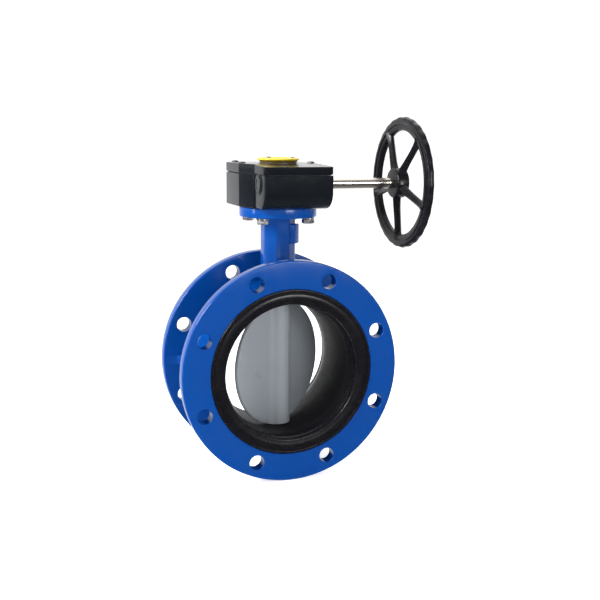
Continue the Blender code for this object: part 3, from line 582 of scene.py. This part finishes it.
def side_rib(side):
    """A web between the flanges, waisted by a quarter circle at each end."""
    inside = FACE - FLANGE_THICKNESS + 0.002
    root = SHELL_RADIUS - 0.004
    corner = RIB_REACH - RIB_WAIST
    front = arc((RIB_REACH, corner - inside), corner, 270, 180, 10)
    rear = arc((RIB_REACH, inside - corner), corner, 180, 90, 10)
    outline = [(side * x, y) for x, y in [(root, -inside), *front, *rear, (root, inside)]]
    rib = extruded("rib", outline, -0.007, 0.007)
    return soften(rib, 0.0022, 3, 50)


def neck():
    """The octagonal column, with a cast pad on its front right flat."""
    octagon = NECK_HALF_FLATS / math.cos(math.pi / 8)
    column = rod("neck", octagon, SHELL_RADIUS - SINK, TOP_FLANGE_LOW + 0.005, segments=8, turn=math.pi / 8)
    soften(column, 0.0011, 2, 30)
    proud = 0.0072
    half_width = 0.009
    pad_low = (NECK_HALF_FLATS - 0.004, -half_width, 0.189)
    pad_high = (NECK_HALF_FLATS + proud, half_width, 0.219)
    pad = block("pad", pad_low, pad_high, math.radians(-45))
    soften(pad, 0.0016, 3)
    return unite(column, pad)


def flared_collar(name, narrow, spread, low, high):
    """A ring of metal that fills the corner round the neck with a hollow curve, wide end low."""
    curve = arc((narrow + spread, high), spread, 180, 270, 6)
    squeeze = (high - low) / spread
    outline = [(0, high), *[(radius, high + (z - high) * squeeze) for radius, z in curve], (0, low)]
    return turned(name, outline, closed=False, steps=64)


def top_flange():
    """The round plate that carries the gearbox."""
    edge = 0.0016
    outline = [(0, TOP_FLANGE_HIGH)]
    outline += arc((TOP_FLANGE_RADIUS - edge, TOP_FLANGE_HIGH - edge), edge, 90, 0, 3)
    outline += arc((TOP_FLANGE_RADIUS - edge, TOP_FLANGE_LOW + edge), edge, 0, -90, 3)
    outline.append((0, TOP_FLANGE_LOW))
    return turned("top", outline, closed=False, steps=96)


def foot_boss():
    """The boss under the shell, for the lower stem and its plug."""
    edge = 0.002
    high = SINK - SHELL_RADIUS
    outline = [(0, high), (BOSS_RADIUS, high)]
    outline += [*arc((BOSS_RADIUS - edge, BOSS_LOW + edge), edge, 0, -90, 3), (0, BOSS_LOW)]
    return turned("boss", outline, closed=False, steps=64)


def body_casting():
    body = turned("body_casting", shell_profile(), "Y", steps=160)
    rise = 0.018
    collar = flared_collar("collar", NECK_HALF_FLATS, 0.017, SHELL_RADIUS - SINK, SHELL_RADIUS + rise)
    unite(body, neck(), collar, foot_boss(), side_rib(1), side_rib(-1), top_flange())
    step = 2 * math.pi / BOLT_HOLES
    holes = [bolt_hole_cutter(step * (i + 0.5)) for i in range(BOLT_HOLES)]
    above = 0.250
    for x, y in TOP_BOLT_CENTRES:
        holes.append(rod("top_hole", TOP_BOLT_RADIUS + 0.0005, 0.220, above, "Z", (x, y, 0), 24))
    holes.append(rod("stem_bore", BUSH_RADIUS + GAP, 0.090, above, segments=32))
    holes.append(rod("packing_bore", SEAL_RADIUS + GAP, SEAL_LOW, above, segments=32))
    holes.append(rod("foot_bore", BUSH_RADIUS + GAP, BOSS_LOW - 0.010, -0.090, segments=32))
    cut(body, *holes)
    present(body, "casing", "body_epoxy", "valve_body")


def liner_sleeve():
    """The rubber sleeve with its two lips, a groove near each lip's edge and a stepped mouth."""
    face = LINER_HIGH.y
    edge = 0.0014
    outer = arc((LIP_RADIUS - edge, face - edge), edge, 90, 0, 5)
    outer += [(LIP_RADIUS, FACE - LIP_DEPTH + GAP), (LINER_RADIUS, FACE - LIP_DEPTH + GAP)]
    groove = 0.0011
    inner = arc((GROOVE_RADIUS + 2 * groove, face - groove), groove, 90, 180, 4)
    inner += [(GROOVE_RADIUS - groove, face - groove), (GROOVE_RADIUS - 1.6 * groove, face - 0.0004)]
    inner.append((GROOVE_RADIUS - 2.2 * groove, face))
    land = 0.1115
    inner += [(land, face), (land - 0.0011, face - 0.0005)]
    mouth = 0.0024
    inner += arc((MOUTH_RADIUS + mouth, face - 0.0030), mouth, 90, 180, 6)
    step = 0.011
    inner += [(MOUTH_RADIUS, face - step), (MOUTH_RADIUS - 0.0012, face - step - 0.0006)]
    inner += [(MOUTH_RADIUS - 0.0018, face - step - 0.002), (BORE_RADIUS + 0.0008, face - 1.9 * step)]
    inner.append((BORE_RADIUS, face - 2.2 * step))
    profile = outer + [(radius, -y) for radius, y in reversed(outer)]
    profile += [(radius, -y) for radius, y in inner]
    profile += [(radius, y) for radius, y in reversed(inner)]
    liner = turned("liner_sleeve", profile, "Y", steps=160)
    cut(liner, rod("stem_hole", STEM_RADIUS + GAP, -0.120, 0.120, segments=32))
    present(liner, "casing", "liner_rubber", "seat_liner")


# ---------------------------------------------------------------- disc


def disc_hub():
    """The thick bar along the stem: on each face one flank is hollow and wide, the other steep."""
    sunk = DISC_HALF - 0.0001
    join = math.asin((sunk + HUB_FILLET) / (HUB_RADIUS + HUB_FILLET))
    degrees = math.degrees(join)
    centre_x = (HUB_RADIUS + HUB_FILLET) * math.cos(join)
    fillet = arc((centre_x, sunk + HUB_FILLET), HUB_FILLET, 270, 180 + degrees, 10)
    steep = HUB_STEEP_FILLET
    steep_degrees = math.degrees(math.asin((sunk + steep) / (HUB_RADIUS + steep)))
    steep_x = (HUB_RADIUS + steep) * math.cos(math.radians(steep_degrees))
    corner = arc((-steep_x, sunk + steep), steep, -steep_degrees, -90, 6)
    crown = arc((0, 0), HUB_RADIUS, degrees, 180 - steep_degrees, 30)
    upper = [*fillet[:-1], *crown, *corner[1:]]
    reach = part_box("disc")[1].z - 0.0014
    hub = extruded("hub", upper + [(-x, -y) for x, y in upper], -reach, reach)
    trim = rod("trim", DISC_RADIUS - GAP, -0.030, 0.030, "Y", segments=160)
    return combine(hub, "INTERSECT", [trim])


def valve_disc():
    """The disc in its closed place, then turned to its rest opening."""
    edge = 0.0030
    half = DISC_HALF
    outline = [(0.0, half)]
    for inward, down in ((3.0, 0.0), (1.2, 0.12), (0.4, 0.45), (0.0, 1.05)):
        outline.append((DISC_RADIUS - inward * edge, half - down * edge))
    outline += [(radius, -y) for radius, y in reversed(outline)]
    plate = turned("valve_disc", outline, "Y", closed=False, steps=144)
    unite(plate, disc_hub())
    mark = (-0.052, 0, -0.012)
    sunk = -half + 0.001
    boss = rod("boss", 0.0064, -half - 0.0007, sunk, "Y", mark, 40)
    cut(boss, rod("ring", 0.0048, -half - 0.001, -half - 0.0001, "Y", mark, 40))
    unite(boss, rod("dot", 0.0018, -half - 0.0006, sunk, "Y", mark, 24))
    unite(plate, boss)
    upper = rod("upper", STEM_RADIUS + GAP, 0.018, 0.110, segments=32)
    lower = rod("lower", STEM_RADIUS + GAP, -0.110, -0.043, segments=32)
    pin_hole = rod("pin_hole", DISC_PIN_RADIUS + GAP, -0.0145, 0.030, "Y", (0, 0, 0.060), 24)
    cut(plate, upper, lower, pin_hole)
    transform(plate, Matrix.Rotation(OPENING, 4, "Z"))
    present(plate, "disc_train", "disc_coating", "disc")


# ---------------------------------------------------------------- gearbox


def gearbox_outline(grow):
    """The lid's outline, the first two corners of which belong to the worm block alone."""
    side = HOUSING_HIGH.x + grow
    rear = HOUSING_HIGH.y + grow
    front = HOUSING_LOW.y - grow
    chamfer = 0.012
    shoulder = -0.003
    left = WORM_BLOCK_LEFT - grow
    right = WORM_BLOCK_RIGHT + grow
    return (
        (left, front),
        (right, front),
        (right, -0.031),
        (side, shoulder),
        (side, rear - chamfer),
        (side - chamfer, rear),
        (chamfer - side, rear),
        (-side, rear - chamfer),
        (-side, shoulder),
        (left, -0.045),
    )


def gearbox_hollows(high):
    """The gear chamber, the worm's tunnel and the opening above the worm."""
    half = 0.034
    chamber = rod("chamber", GEAR_CHAMBER_RADIUS, 0.262, high, segments=64)
    tunnel = rod("tunnel", WORM_TUNNEL_RADIUS, -half, half, "X", SHAFT_AXIS, 48)
    slot = block("slot", (-half, SHAFT_AXIS.y - WORM_TUNNEL_RADIUS, SHAFT_AXIS.z), (half, -0.040, high))
    return chamber, tunnel, slot


def numbered(stem):
    """The nodes of a family, such as cover_screw_1 and so on, each with the middle of its box."""
    names = sorted(name for name in frame["nodes"] if name.startswith(stem + "_"))
    return [(name, sum(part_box(name), Vector()) / 2) for name in names]


def gearbox_shell():
    """The housing below the seam: the gear chamber, and the worm block with a boss at each end."""
    low = HOUSING_LOW.z
    high = HOUSING_HIGH.z
    front = HOUSING_LOW.y
    above = high + 0.008
    shell = extruded("gearbox_shell", rounded(gearbox_outline(0.0011)[2:], 0.005, 5), low, above)
    soften(shell, 0.0016, 3, 50)
    curve = 0.025
    profile = [(WORM_BLOCK_REAR, above), (WORM_BLOCK_REAR, low)]
    profile += [*arc((front + curve, low + curve), curve, 270, 180, 16), (front, above)]
    block_right = WORM_BLOCK_RIGHT + 0.0014
    worm_block = extruded("worm_block", profile, WORM_BLOCK_LEFT, block_right, "X")
    soften(worm_block, 0.0032, 4, 50)
    unite(shell, worm_block)
    cut(shell, block("seam", (-0.1, -0.12, high), (0.1, 0.1, high + 0.02)))
    boss_left = WORM_BLOCK_LEFT - WORM_BOSS_PROUD
    left_boss = rod("left_boss", 0.0165, boss_left, WORM_BLOCK_LEFT + 0.004, "X", SHAFT_AXIS, 48)
    right_boss = rod("right_boss", 0.0150, WORM_BLOCK_RIGHT - 0.004, block_right + 0.001, "X", SHAFT_AXIS, 48)
    unite(shell, soften(left_boss, 0.0005, 2), soften(right_boss, 0.0008, 2))
    holes = [
        rod("shaft_bore", SHAFT_SEAT_RADIUS + GAP, -0.070, 0.070, "X", SHAFT_AXIS, 40),
        rod("stem_opening", 0.0216, 0.240, 0.270, segments=48),
    ]
    for x, y in TOP_BOLT_CENTRES:
        holes.append(rod("bolt_hole", TOP_BOLT_RADIUS + GAP, 0.240, 0.258, "Z", (x, y, 0), 20))
    screw_hole = COVER_SCREW_RADIUS + GAP
    for _, spot in numbered("cover_screw"):
        holes.append(rod("screw_hole", screw_hole, 0.281, 0.300, "Z", (spot.x, spot.y, 0), 16))
    for x in (-STOP_REACH, STOP_REACH):
        holes.append(rod("stop_hole", STOP_RADIUS + GAP, 0.025, 0.080, "Y", (x, 0, SHAFT_AXIS.z), 20))
    cut(shell, *gearbox_hollows(high + 0.005), *holes)
    present(shell, "casing", "gearbox_paint", "gearbox_housing")


def gearbox_lid():
    """The lid, which overhangs the shell a little and slopes down to its front edge."""
    lip = COVER_HIGH.x - HOUSING_HIGH.x
    lid = extruded("gearbox_lid", rounded(gearbox_outline(lip), 0.006, 6), COVER_LOW.z, COVER_HIGH.z)
    soften(lid, 0.0014, 3, 50)
    chamber, tunnel, slot = gearbox_hollows(COVER_HIGH.z - 0.0050)
    bpy.data.objects.remove(tunnel)
    fall = 0.0030
    start = -0.034
    front = COVER_LOW.y - 0.010
    high = COVER_HIGH.z
    above = high + 0.010
    slope = [(start, high), (start, above), (front, above), (front, high - fall)]
    low_end = 0.290
    high_end = 0.320
    holes = [
        extruded("wedge", slope, -0.1, 0.1, "X"),
        rod("opening", 0.0303, low_end, high_end, segments=64),
    ]
    screw_hole = COVER_SCREW_RADIUS + GAP
    for _, spot in numbered("cover_screw"):
        at = (spot.x, spot.y, 0)
        holes.append(rod("screw_hole", screw_hole, low_end, high_end, "Z", at, 20))
        holes.append(rod("spot_face", 0.0066, high - 0.0004, high_end, "Z", at, 32))
    cut(lid, chamber, slot, *holes)
    present(lid, "casing", "gearbox_paint", "gearbox_cover")


def worm_cap():
    """The cap at the left end of the worm's tunnel, with a shallow dish in its face."""
    low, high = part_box("worm_end_cap")
    edge = 0.0007
    radius = (high.z - low.z) / 2
    spigot = SHAFT_SEAT_RADIUS
    shoulder = WORM_BLOCK_LEFT - WORM_BOSS_PROUD
    dish_radius = 0.0085
    dish = low.x + 0.0006
    outline = [(0, high.x), (spigot, high.x), (spigot, shoulder), (radius, shoulder)]
    outline += arc((radius - edge, low.x + edge), edge, 0, -90, 3)
    outline += [(dish_radius, low.x), (dish_radius - 0.0005, dish), (0, dish)]
    cap = turned("worm_cap", outline, "X", (0, SHAFT_AXIS.y, SHAFT_AXIS.z), closed=False, steps=64)
    present(cap, "casing", "gearbox_paint", "worm_end_cap")


def cover_screws():
    """The four domed screws of the lid, each with a hexagon socket."""
    low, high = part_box("cover_screw_1")
    shoulder = COVER_HIGH.z + GAP
    head = (high.x - low.x) / 2
    dome = high.z - shoulder
    outline = [(0, high.z), (head * 0.5, high.z), (head * 0.75, high.z - 0.12 * dome)]
    outline += [(head * 0.92, high.z - 0.35 * dome), (head, shoulder + 0.3 * dome), (head, shoulder)]
    outline += [(COVER_SCREW_RADIUS, shoulder), (COVER_SCREW_RADIUS, low.z), (0, low.z)]
    screw = turned("cover_screw_piece", outline, closed=False, steps=40)
    cut(screw, rod("socket", 0.0023, high.z - 0.002, high.z + 0.004, segments=6))
    for number, (node, spot) in enumerate(numbered("cover_screw"), start=1):
        piece = twin(screw, f"lid_screw_{number}", (spot.x, spot.y, 0))
        present(piece, "casing", "dark_steel", node)
    bpy.data.objects.remove(screw)


def position_dial():
    """The yellow dial: a raised rim with a sloping shoulder, and a sunk face with a pointer bar."""
    radius = (DIAL_HIGH.x - DIAL_LOW.x) / 2
    top = DIAL_HIGH.z
    edge = 0.0012
    waist = radius - 0.0040
    face = top - DIAL_FACE_DROP
    outline = [(0, face), (radius - 0.0100, face), (radius - 0.0092, top - 0.0007)]
    outline += [(radius - 0.0082, top - 0.0001), (radius - 0.0070, top)]
    outline += arc((radius - edge, top - 0.0026), edge, 65, -60, 6)
    outline += [(waist + 0.0006, top - 0.0046), (waist, top - 0.0052)]
    outline += [(waist - 0.0004, DIAL_LOW.z + 0.0004), (waist - 0.0008, DIAL_LOW.z), (0, DIAL_LOW.z)]
    dial = turned("position_dial", outline, closed=False, steps=96)
    reach = radius * 0.64
    sunk = face - 0.001
    bar = block("bar", (-reach, -0.0025, sunk), (reach, 0.0025, face + 0.0009))
    unite(dial, soften(bar, 0.0004, 2))
    for _, spot in numbered("indicator_screw"):
        x, y, _ = Matrix.Rotation(-OPENING, 4, "Z") @ spot
        unite(dial, rod("seat", 0.0052, sunk, face + DIAL_SEAT_PROUD, "Z", (x, y, 0), 32))
        cut(dial, rod("hole", DIAL_SCREW_RADIUS + GAP, 0.300, 0.330, "Z", (x, y, 0), 20))
    transform(dial, Matrix.Rotation(OPENING, 4, "Z"))
    present(dial, "disc_train", "dial_plastic", "indicator")


def dial_screws():
    """The two screws of the dial, which stand a little over its rim."""
    for number in (1, 2):
        low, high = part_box(f"indicator_screw_{number}")
        spot = (low + high) / 2
        head = (high.x - low.x) / 2
        shoulder = DIAL_HIGH.z - DIAL_FACE_DROP + DIAL_SEAT_PROUD + 0.0001
        crown = DIAL_HIGH.z + DIAL_SCREW_CROWN
        outline = [(0, crown), (head * 0.7, crown - 0.0001), (head * 0.92, crown - 0.0006)]
        outline += [(head, crown - 0.0012), (head, shoulder)]
        outline += [(DIAL_SCREW_RADIUS, shoulder), (DIAL_SCREW_RADIUS, low.z), (0, low.z)]
        screw = turned(f"dial_screw_{number}", outline, "Z", (spot.x, spot.y, 0), closed=False, steps=40)
        socket = rod("socket", 0.0017, crown - 0.0014, crown + 0.003, "Z", (spot.x, spot.y, 0), 6)
        present(cut(screw, socket), "disc_train", "dark_steel", f"indicator_screw_{number}")


# ---------------------------------------------------------------- fasteners


def hex_prism(name, flats, low, high, axis="Z", centre=(0, 0, 0), crown=0.0009):
    """A hexagon whose corners are turned down to its flats at both ends."""
    corner = flats / math.sqrt(3)
    prism = rod(name, corner, low, high, axis, centre, 6)
    flat = flats / 2
    outline = [(0, high), (flat * 0.97, high), (corner * 1.02, high - crown * 1.6)]
    outline += [(corner * 1.02, low + crown * 1.6), (flat * 0.97, low), (0, low)]
    return combine(prism, "INTERSECT", [turned("crown", outline, axis, centre, closed=False, steps=48)])


def mounting_bolts():
    """The four bolts with washers under the top flange, each left at its own angle."""
    low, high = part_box("mounting_bolt_1")
    washer_low, washer_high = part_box("mounting_washer_1")
    head_high = washer_low.z - GAP
    bolt = hex_prism("bolt_piece", 0.017, low.z, head_high)
    unite(bolt, rod("shank", TOP_BOLT_RADIUS, head_high - 0.002, high.z, segments=32))
    edge = 0.0004
    hole = TOP_BOLT_RADIUS + 0.0004
    radius = 0.010
    outline = [(radius - edge, washer_high.z), (radius, washer_high.z - edge)]
    outline += [(radius, washer_low.z + edge), (radius - edge, washer_low.z)]
    outline += [(hole, washer_low.z), (hole, washer_high.z)]
    washer = turned("washer_piece", outline, steps=48)
    angle_between = 0.7
    for number, (washer_node, spot) in enumerate(numbered("mounting_washer"), start=1):
        turn = Matrix.Rotation(number * angle_between, 4, "Z")
        bolt_twin = twin(bolt, f"flange_bolt_{number}", (0, 0, 0))
        transform(bolt_twin, Matrix.Translation((spot.x, spot.y, 0)) @ turn)
        present(bolt_twin, "casing", "zinc", f"mounting_bolt_{number}")
        washer_twin = twin(washer, f"flange_washer_{number}", (spot.x, spot.y, 0))
        present(washer_twin, "casing", "zinc", washer_node)
    bpy.data.objects.remove(bolt)
    bpy.data.objects.remove(washer)


def stops():
    """The two stop screws, ridged like a thread where they stand out, each with its locknut."""
    pitch = 0.00125
    for number in (1, 2):
        low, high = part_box(f"stop_bolt_{number}")
        x = (low.x + high.x) / 2
        at = (x, 0, SHAFT_AXIS.z)
        edge = 0.0006
        radius = STOP_RADIUS
        root = radius - 0.0005
        outline = [(0, high.y), (radius - edge, high.y), (radius, high.y - edge)]
        ridge_top = high.y - 0.0015
        while ridge_top > HOUSING_HIGH.y + 0.001:
            outline += [(radius, ridge_top), (root, ridge_top - 0.0005), (radius, ridge_top - 0.001)]
            ridge_top -= pitch
        outline += [(radius, low.y + edge), (radius - edge, low.y), (0, low.y)]
        stud = turned(f"stop_stud_{number}", outline, "Y", at, closed=False, steps=32)
        cut(stud, rod("socket", 0.0023, high.y - 0.004, high.y + 0.004, "Y", at, 6))
        present(stud, "casing", "dark_steel", f"stop_bolt_{number}")
        nut_low, nut_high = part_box(f"stop_nut_{number}")
        nut = hex_prism(f"stop_locknut_{number}", 0.013, nut_low.y, nut_high.y, "Y", at)
        cut(nut, rod("hole", STOP_RADIUS + GAP, 0.060, 0.090, "Y", at, 32))
        present(nut, "casing", "zinc", f"stop_nut_{number}")


def foot_plug():
    """The hexagon plug that closes the lower stem's bore."""
    low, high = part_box("bottom_plug")
    gasket_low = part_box("plug_gasket")[0]
    head_high = gasket_low.z - GAP
    plug = hex_prism("foot_plug", 0.0364, low.z, head_high, crown=0.0014)
    unite(plug, rod("spigot", BUSH_RADIUS, head_high - 0.002, high.z, segments=48))
    present(plug, "casing", "zinc", "bottom_plug")


# ---------------------------------------------------------------- shaft and handwheel


def drive_shaft():
    """A plain bar, chamfered at both ends and cross-drilled for its two pins."""
    radius = SHAFT_RADIUS
    edge = 0.0012
    outline = [(0, SHAFT_HIGH.x), (radius - edge, SHAFT_HIGH.x), (radius, SHAFT_HIGH.x - edge)]
    outline += [(radius, SHAFT_LOW.x + edge), (radius - edge, SHAFT_LOW.x), (0, SHAFT_LOW.x)]
    shaft = turned("drive_shaft", outline, "X", (0, SHAFT_AXIS.y, SHAFT_AXIS.z), closed=False, steps=64)
    for node, pin_radius in (("worm_pin", WORM_PIN_RADIUS), ("handwheel_pin", WHEEL_PIN_RADIUS)):
        low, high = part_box(node)
        centre = (low + high) / 2
        cut(shaft, rod("pin_hole", pin_radius + GAP, -0.020, 0.020, "Y", centre, 16))
    present(shaft, "wheel_train", "stainless", "input_shaft")


# Outer edge to inner edge as shares of the half depth and half width, with a bead along the middle
RIM_SECTION = (
    (1.00, 0.00),
    (0.97, 0.30),
    (0.87, 0.56),
    (0.68, 0.70),
    (0.42, 0.75),
    (0.20, 0.76),
    (0.11, 0.97),
    (0.00, 1.00),
    (-0.11, 0.97),
    (-0.20, 0.76),
    (-0.42, 0.75),
    (-0.68, 0.70),
    (-0.87, 0.56),
    (-0.97, 0.30),
    (-1.00, 0.00),
)


def rim(radius, centre_x, half_depth, half_width):
    """The oval rim with a low ridge on each face and shallow finger waves round its outside."""
    around = 240
    waves = 30
    wave_depth = 0.0011
    section = [*RIM_SECTION, *[(deep, -wide) for deep, wide in reversed(RIM_SECTION[1:-1])]]
    sides = len(section)
    bm = bmesh.new()
    rings = []
    for i in range(around):
        turn = 2 * math.pi * i / around
        dip = 0.5 - 0.5 * math.cos(waves * turn)
        ring = []
        for deep, wide in section:
            depth = half_depth * deep - wave_depth * dip * max(deep, 0.0) ** 2
            reach = radius - half_depth + depth
            at = (centre_x + half_width * wide, reach * math.cos(turn), reach * math.sin(turn))
            ring.append(bm.verts.new(at))
        rings.append(ring)
    for i in range(around):
        here = rings[i]
        after = rings[(i + 1) % around]
        for j in range(sides):
            k = (j + 1) % sides
            bm.faces.new((here[j], here[k], after[k], after[j]))
    bmesh.ops.recalc_face_normals(bm, faces=bm.faces)
    return from_bmesh("rim", bm)


def arm(angle, start, end):
    """A spoke from start to end, given as (x, radius): wide at both roots, with a rounded back rib."""
    stations = 14
    sides = 20
    hub_flare = 0.0035
    rim_flare = 0.0042
    bm = bmesh.new()
    rings = []
    for i in range(stations + 1):
        t = i / stations
        lean = 0.5 - 0.5 * math.cos(math.pi * t)
        x = start[0] + (end[0] - start[0]) * lean
        reach = start[1] + (end[1] - start[1]) * t
        flare = hub_flare * (1 - t) ** 6 + rim_flare * t ** 9
        half_width = 0.0066 - 0.0010 * t + flare
        half_depth = 0.0052 - 0.0006 * t + 0.4 * flare
        ring = []
        for j in range(sides):
            side = 2 * math.pi * j / sides
            across = half_width * math.copysign(abs(math.cos(side)) ** 0.8, math.cos(side))
            rib = 0.80 + 0.42 * math.exp(-(math.cos(side) / 0.30) ** 2)
            out = half_depth * math.sin(side) * rib
            ring.append(bm.verts.new((x + out, across, reach)))
        rings.append(ring)
    for here, after in zip(rings, rings[1:]):
        for j in range(sides):
            k = (j + 1) % sides
            bm.faces.new((here[j], here[k], after[k], after[j]))
    bm.faces.new(rings[0])
    bm.faces.new(rings[-1])
    bmesh.ops.recalc_face_normals(bm, faces=bm.faces)
    bmesh.ops.transform(bm, verts=bm.verts, matrix=Matrix.Rotation(-angle, 4, "X"))
    return from_bmesh("arm", bm)


def hand_wheel():
    """Hub, five spokes and rim, made round the X axis and then moved to the shaft's place."""
    radius = (WHEEL_HIGH.z - WHEEL_LOW.z) / 2
    half_width = 0.0070
    half_depth = 0.0105
    rim_x = WHEEL_HIGH.x - half_width
    hub_radius = 0.0225
    hub_left = WHEEL_LOW.x
    hub_right = SHAFT_HIGH.x - 0.0005
    edge = 0.0025
    wheel = rim(radius, rim_x, half_depth, half_width)
    wheel.name = "hand_wheel"
    outline = [(0, hub_right), *arc((hub_radius - edge, hub_right - edge), edge, 90, 0, 5)]
    outline += [*arc((hub_radius - edge, hub_left + edge), edge, 0, -90, 5), (0, hub_left)]
    hub = turned("hub", outline, "X", closed=False, steps=80)
    arms = 5
    phase = math.radians(31.5)
    start = (0.5 * (hub_left + hub_right), hub_radius * 0.7)
    end = (rim_x - 0.001, radius - 1.2 * half_depth)
    unite(wheel, hub, *[arm(phase + 2 * math.pi * i / arms, start, end) for i in range(arms)])
    low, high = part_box("handwheel_pin")
    cut(wheel, rod("bore", SHAFT_RADIUS + GAP, 0.140, 0.200, "X", segments=48))
    pin_place = ((low.x + high.x) / 2, 0, 0)
    cut(wheel, rod("pin_hole", WHEEL_PIN_RADIUS + GAP, -0.030, 0.030, "Y", pin_place, 20))
    transform(wheel, Matrix.Translation((0, SHAFT_AXIS.y, SHAFT_AXIS.z)))
    present(wheel, "wheel_train", "wheel_paint", "handwheel")


# ---------------------------------------------------------------- studio


def floor_look():
    """Pale and matt, with a faint light of its own so that the object's shadow stays light."""
    look = Look("studio_floor", (0.95, 0.95, 0.95), 0.6, specular=0.05)
    look.tint(look.ramp(look.noise(3, 3.0), 0.0, 0.3, 0.4, 0.8), (0.93, 0.93, 0.94))
    look.tree.links.new(look.paint, look.shader.inputs["Emission Color"])
    look.shader.inputs["Emission Strength"].default_value = 0.62
    return look.material


def studio_floor():
    """A floor just under the flanges, large enough to reach the horizon, and not seen in reflections."""
    reach = 60.0
    bm = bmesh.new()
    bmesh.ops.create_grid(bm, x_segments=12, y_segments=12, size=reach)
    floor = from_bmesh("studio_floor", bm)
    floor.location = (0, 0, CAD_BOUNDS[0][2] - 0.0005)
    floor.rotation_euler.z = VIEW_AZIMUTH
    floor.data.materials.append(floor_look())
    floor.visible_glossy = False


# Brightness of the room in front of the object, from straight down (-1) to straight up (1)
ROOM_IN_FRONT = (
    (-1.00, 0.30),
    (-0.75, 0.25),
    (-0.55, 0.07),
    (-0.12, 0.15),
    (-0.02, 0.25),
    (-0.01, 0.85),
    (0.20, 0.85),
    (0.30, 0.33),
    (1.00, 0.33),
)


def studio_world():
    """A white backdrop behind the object, and in front a dim room with a bright band above the horizon."""
    world = bpy.data.worlds.new("studio")
    bpy.context.scene.world = world
    world.use_nodes = True
    tree = world.node_tree
    background = tree.nodes["Background"]
    place = tree.nodes.new("ShaderNodeTexCoord")
    towards_backdrop = tree.nodes.new("ShaderNodeVectorMath")
    towards_backdrop.operation = "DOT_PRODUCT"
    towards_backdrop.inputs[1].default_value = (-math.sin(VIEW_AZIMUTH), math.cos(VIEW_AZIMUTH), 0.0)
    tree.links.new(place.outputs["Generated"], towards_backdrop.inputs[0])
    shade = tree.nodes.new("ShaderNodeMapRange")
    shade.interpolation_type = "SMOOTHSTEP"
    shade.inputs["From Min"].default_value = 0.20
    shade.inputs["From Max"].default_value = 0.80
    split = tree.nodes.new("ShaderNodeSeparateXYZ")
    tree.links.new(place.outputs["Generated"], split.inputs["Vector"])
    height = tree.nodes.new("ShaderNodeMapRange")
    height.inputs["From Min"].default_value = -1.0
    tree.links.new(split.outputs["Z"], height.inputs["Value"])
    room = tree.nodes.new("ShaderNodeValToRGB")
    stops = room.color_ramp.elements
    while len(stops) < len(ROOM_IN_FRONT):
        stops.new(0.5)
    for stop, (up, light) in zip(stops, ROOM_IN_FRONT):
        stop.position = (up + 1.0) / 2
        stop.color = (light, light, light, 1.0)
    tree.links.new(height.outputs["Result"], room.inputs["Fac"])
    tree.links.new(room.outputs["Color"], shade.inputs["To Min"])
    shade.inputs["To Max"].default_value = 1.10
    tree.links.new(towards_backdrop.outputs["Value"], shade.inputs["Value"])
    tree.links.new(shade.outputs["Result"], background.inputs["Color"])
    background.inputs["Strength"].default_value = 1.0


def softbox(name, location, target, size, power):
    """A rectangular light that faces the target."""
    light = bpy.data.lights.new(name, "AREA")
    light.shape = "RECTANGLE"
    light.size = size[0]
    light.size_y = size[1]
    light.energy = power
    obj = bpy.data.objects.new(name, light)
    bpy.context.scene.collection.objects.link(obj)
    obj.location = location
    obj.rotation_euler = (Vector(target) - Vector(location)).to_track_quat("-Z", "Y").to_euler()


def studio_lights():
    centre = (0, 0, 0.1)
    softbox("overhead", (0.1, 0.5, 1.9), centre, (2.2, 2.2), 22)
    softbox("key_left", (-1.35, -1.0, 1.0), centre, (0.5, 0.5), 5)
    softbox("side_left", (-1.7, -0.15, 1.15), centre, (0.6, 0.6), 72)
    softbox("strip_left", (-1.25, 0.06, 0.42), (0, 0, 0.28), (0.10, 0.5), 3)
    softbox("fill_front", (0.60, -1.9, 0.60), centre, (0.8, 0.6), 20)


def front_camera():
    """Seen from the left front, a little above, with the horizon half a degree off level."""
    azimuth = VIEW_AZIMUTH
    elevation = math.radians(10.22)
    distance = 1.4640
    roll = 0.0090
    target = Vector((0.0374, 0.0, 0.0963))
    back = Vector((
        math.sin(azimuth) * math.cos(elevation),
        -math.cos(azimuth) * math.cos(elevation),
        math.sin(elevation),
    ))
    level_right = (-back).cross(Vector((0, 0, 1))).normalized()
    level_up = level_right.cross(-back)
    right = level_right * math.cos(roll) + level_up * math.sin(roll)
    up = level_up * math.cos(roll) - level_right * math.sin(roll)
    data = bpy.data.cameras.new("camera")
    data.sensor_width = 36.0
    data.lens = 55.6698
    camera = bpy.data.objects.new("camera", data)
    bpy.context.scene.collection.objects.link(camera)
    turn = Matrix((right, up, back)).transposed().to_4x4()
    camera.matrix_world = Matrix.Translation(target + back * distance) @ turn
    bpy.context.scene.camera = camera


dress_cad_nodes()
body_casting()
liner_sleeve()
valve_disc()
gearbox_shell()
gearbox_lid()
worm_cap()
cover_screws()
position_dial()
dial_screws()
mounting_bolts()
stops()
foot_plug()
drive_shaft()
hand_wheel()
studio_floor()
studio_world()
studio_lights()
front_camera()
bpy.context.scene.view_settings.view_transform = "Standard"
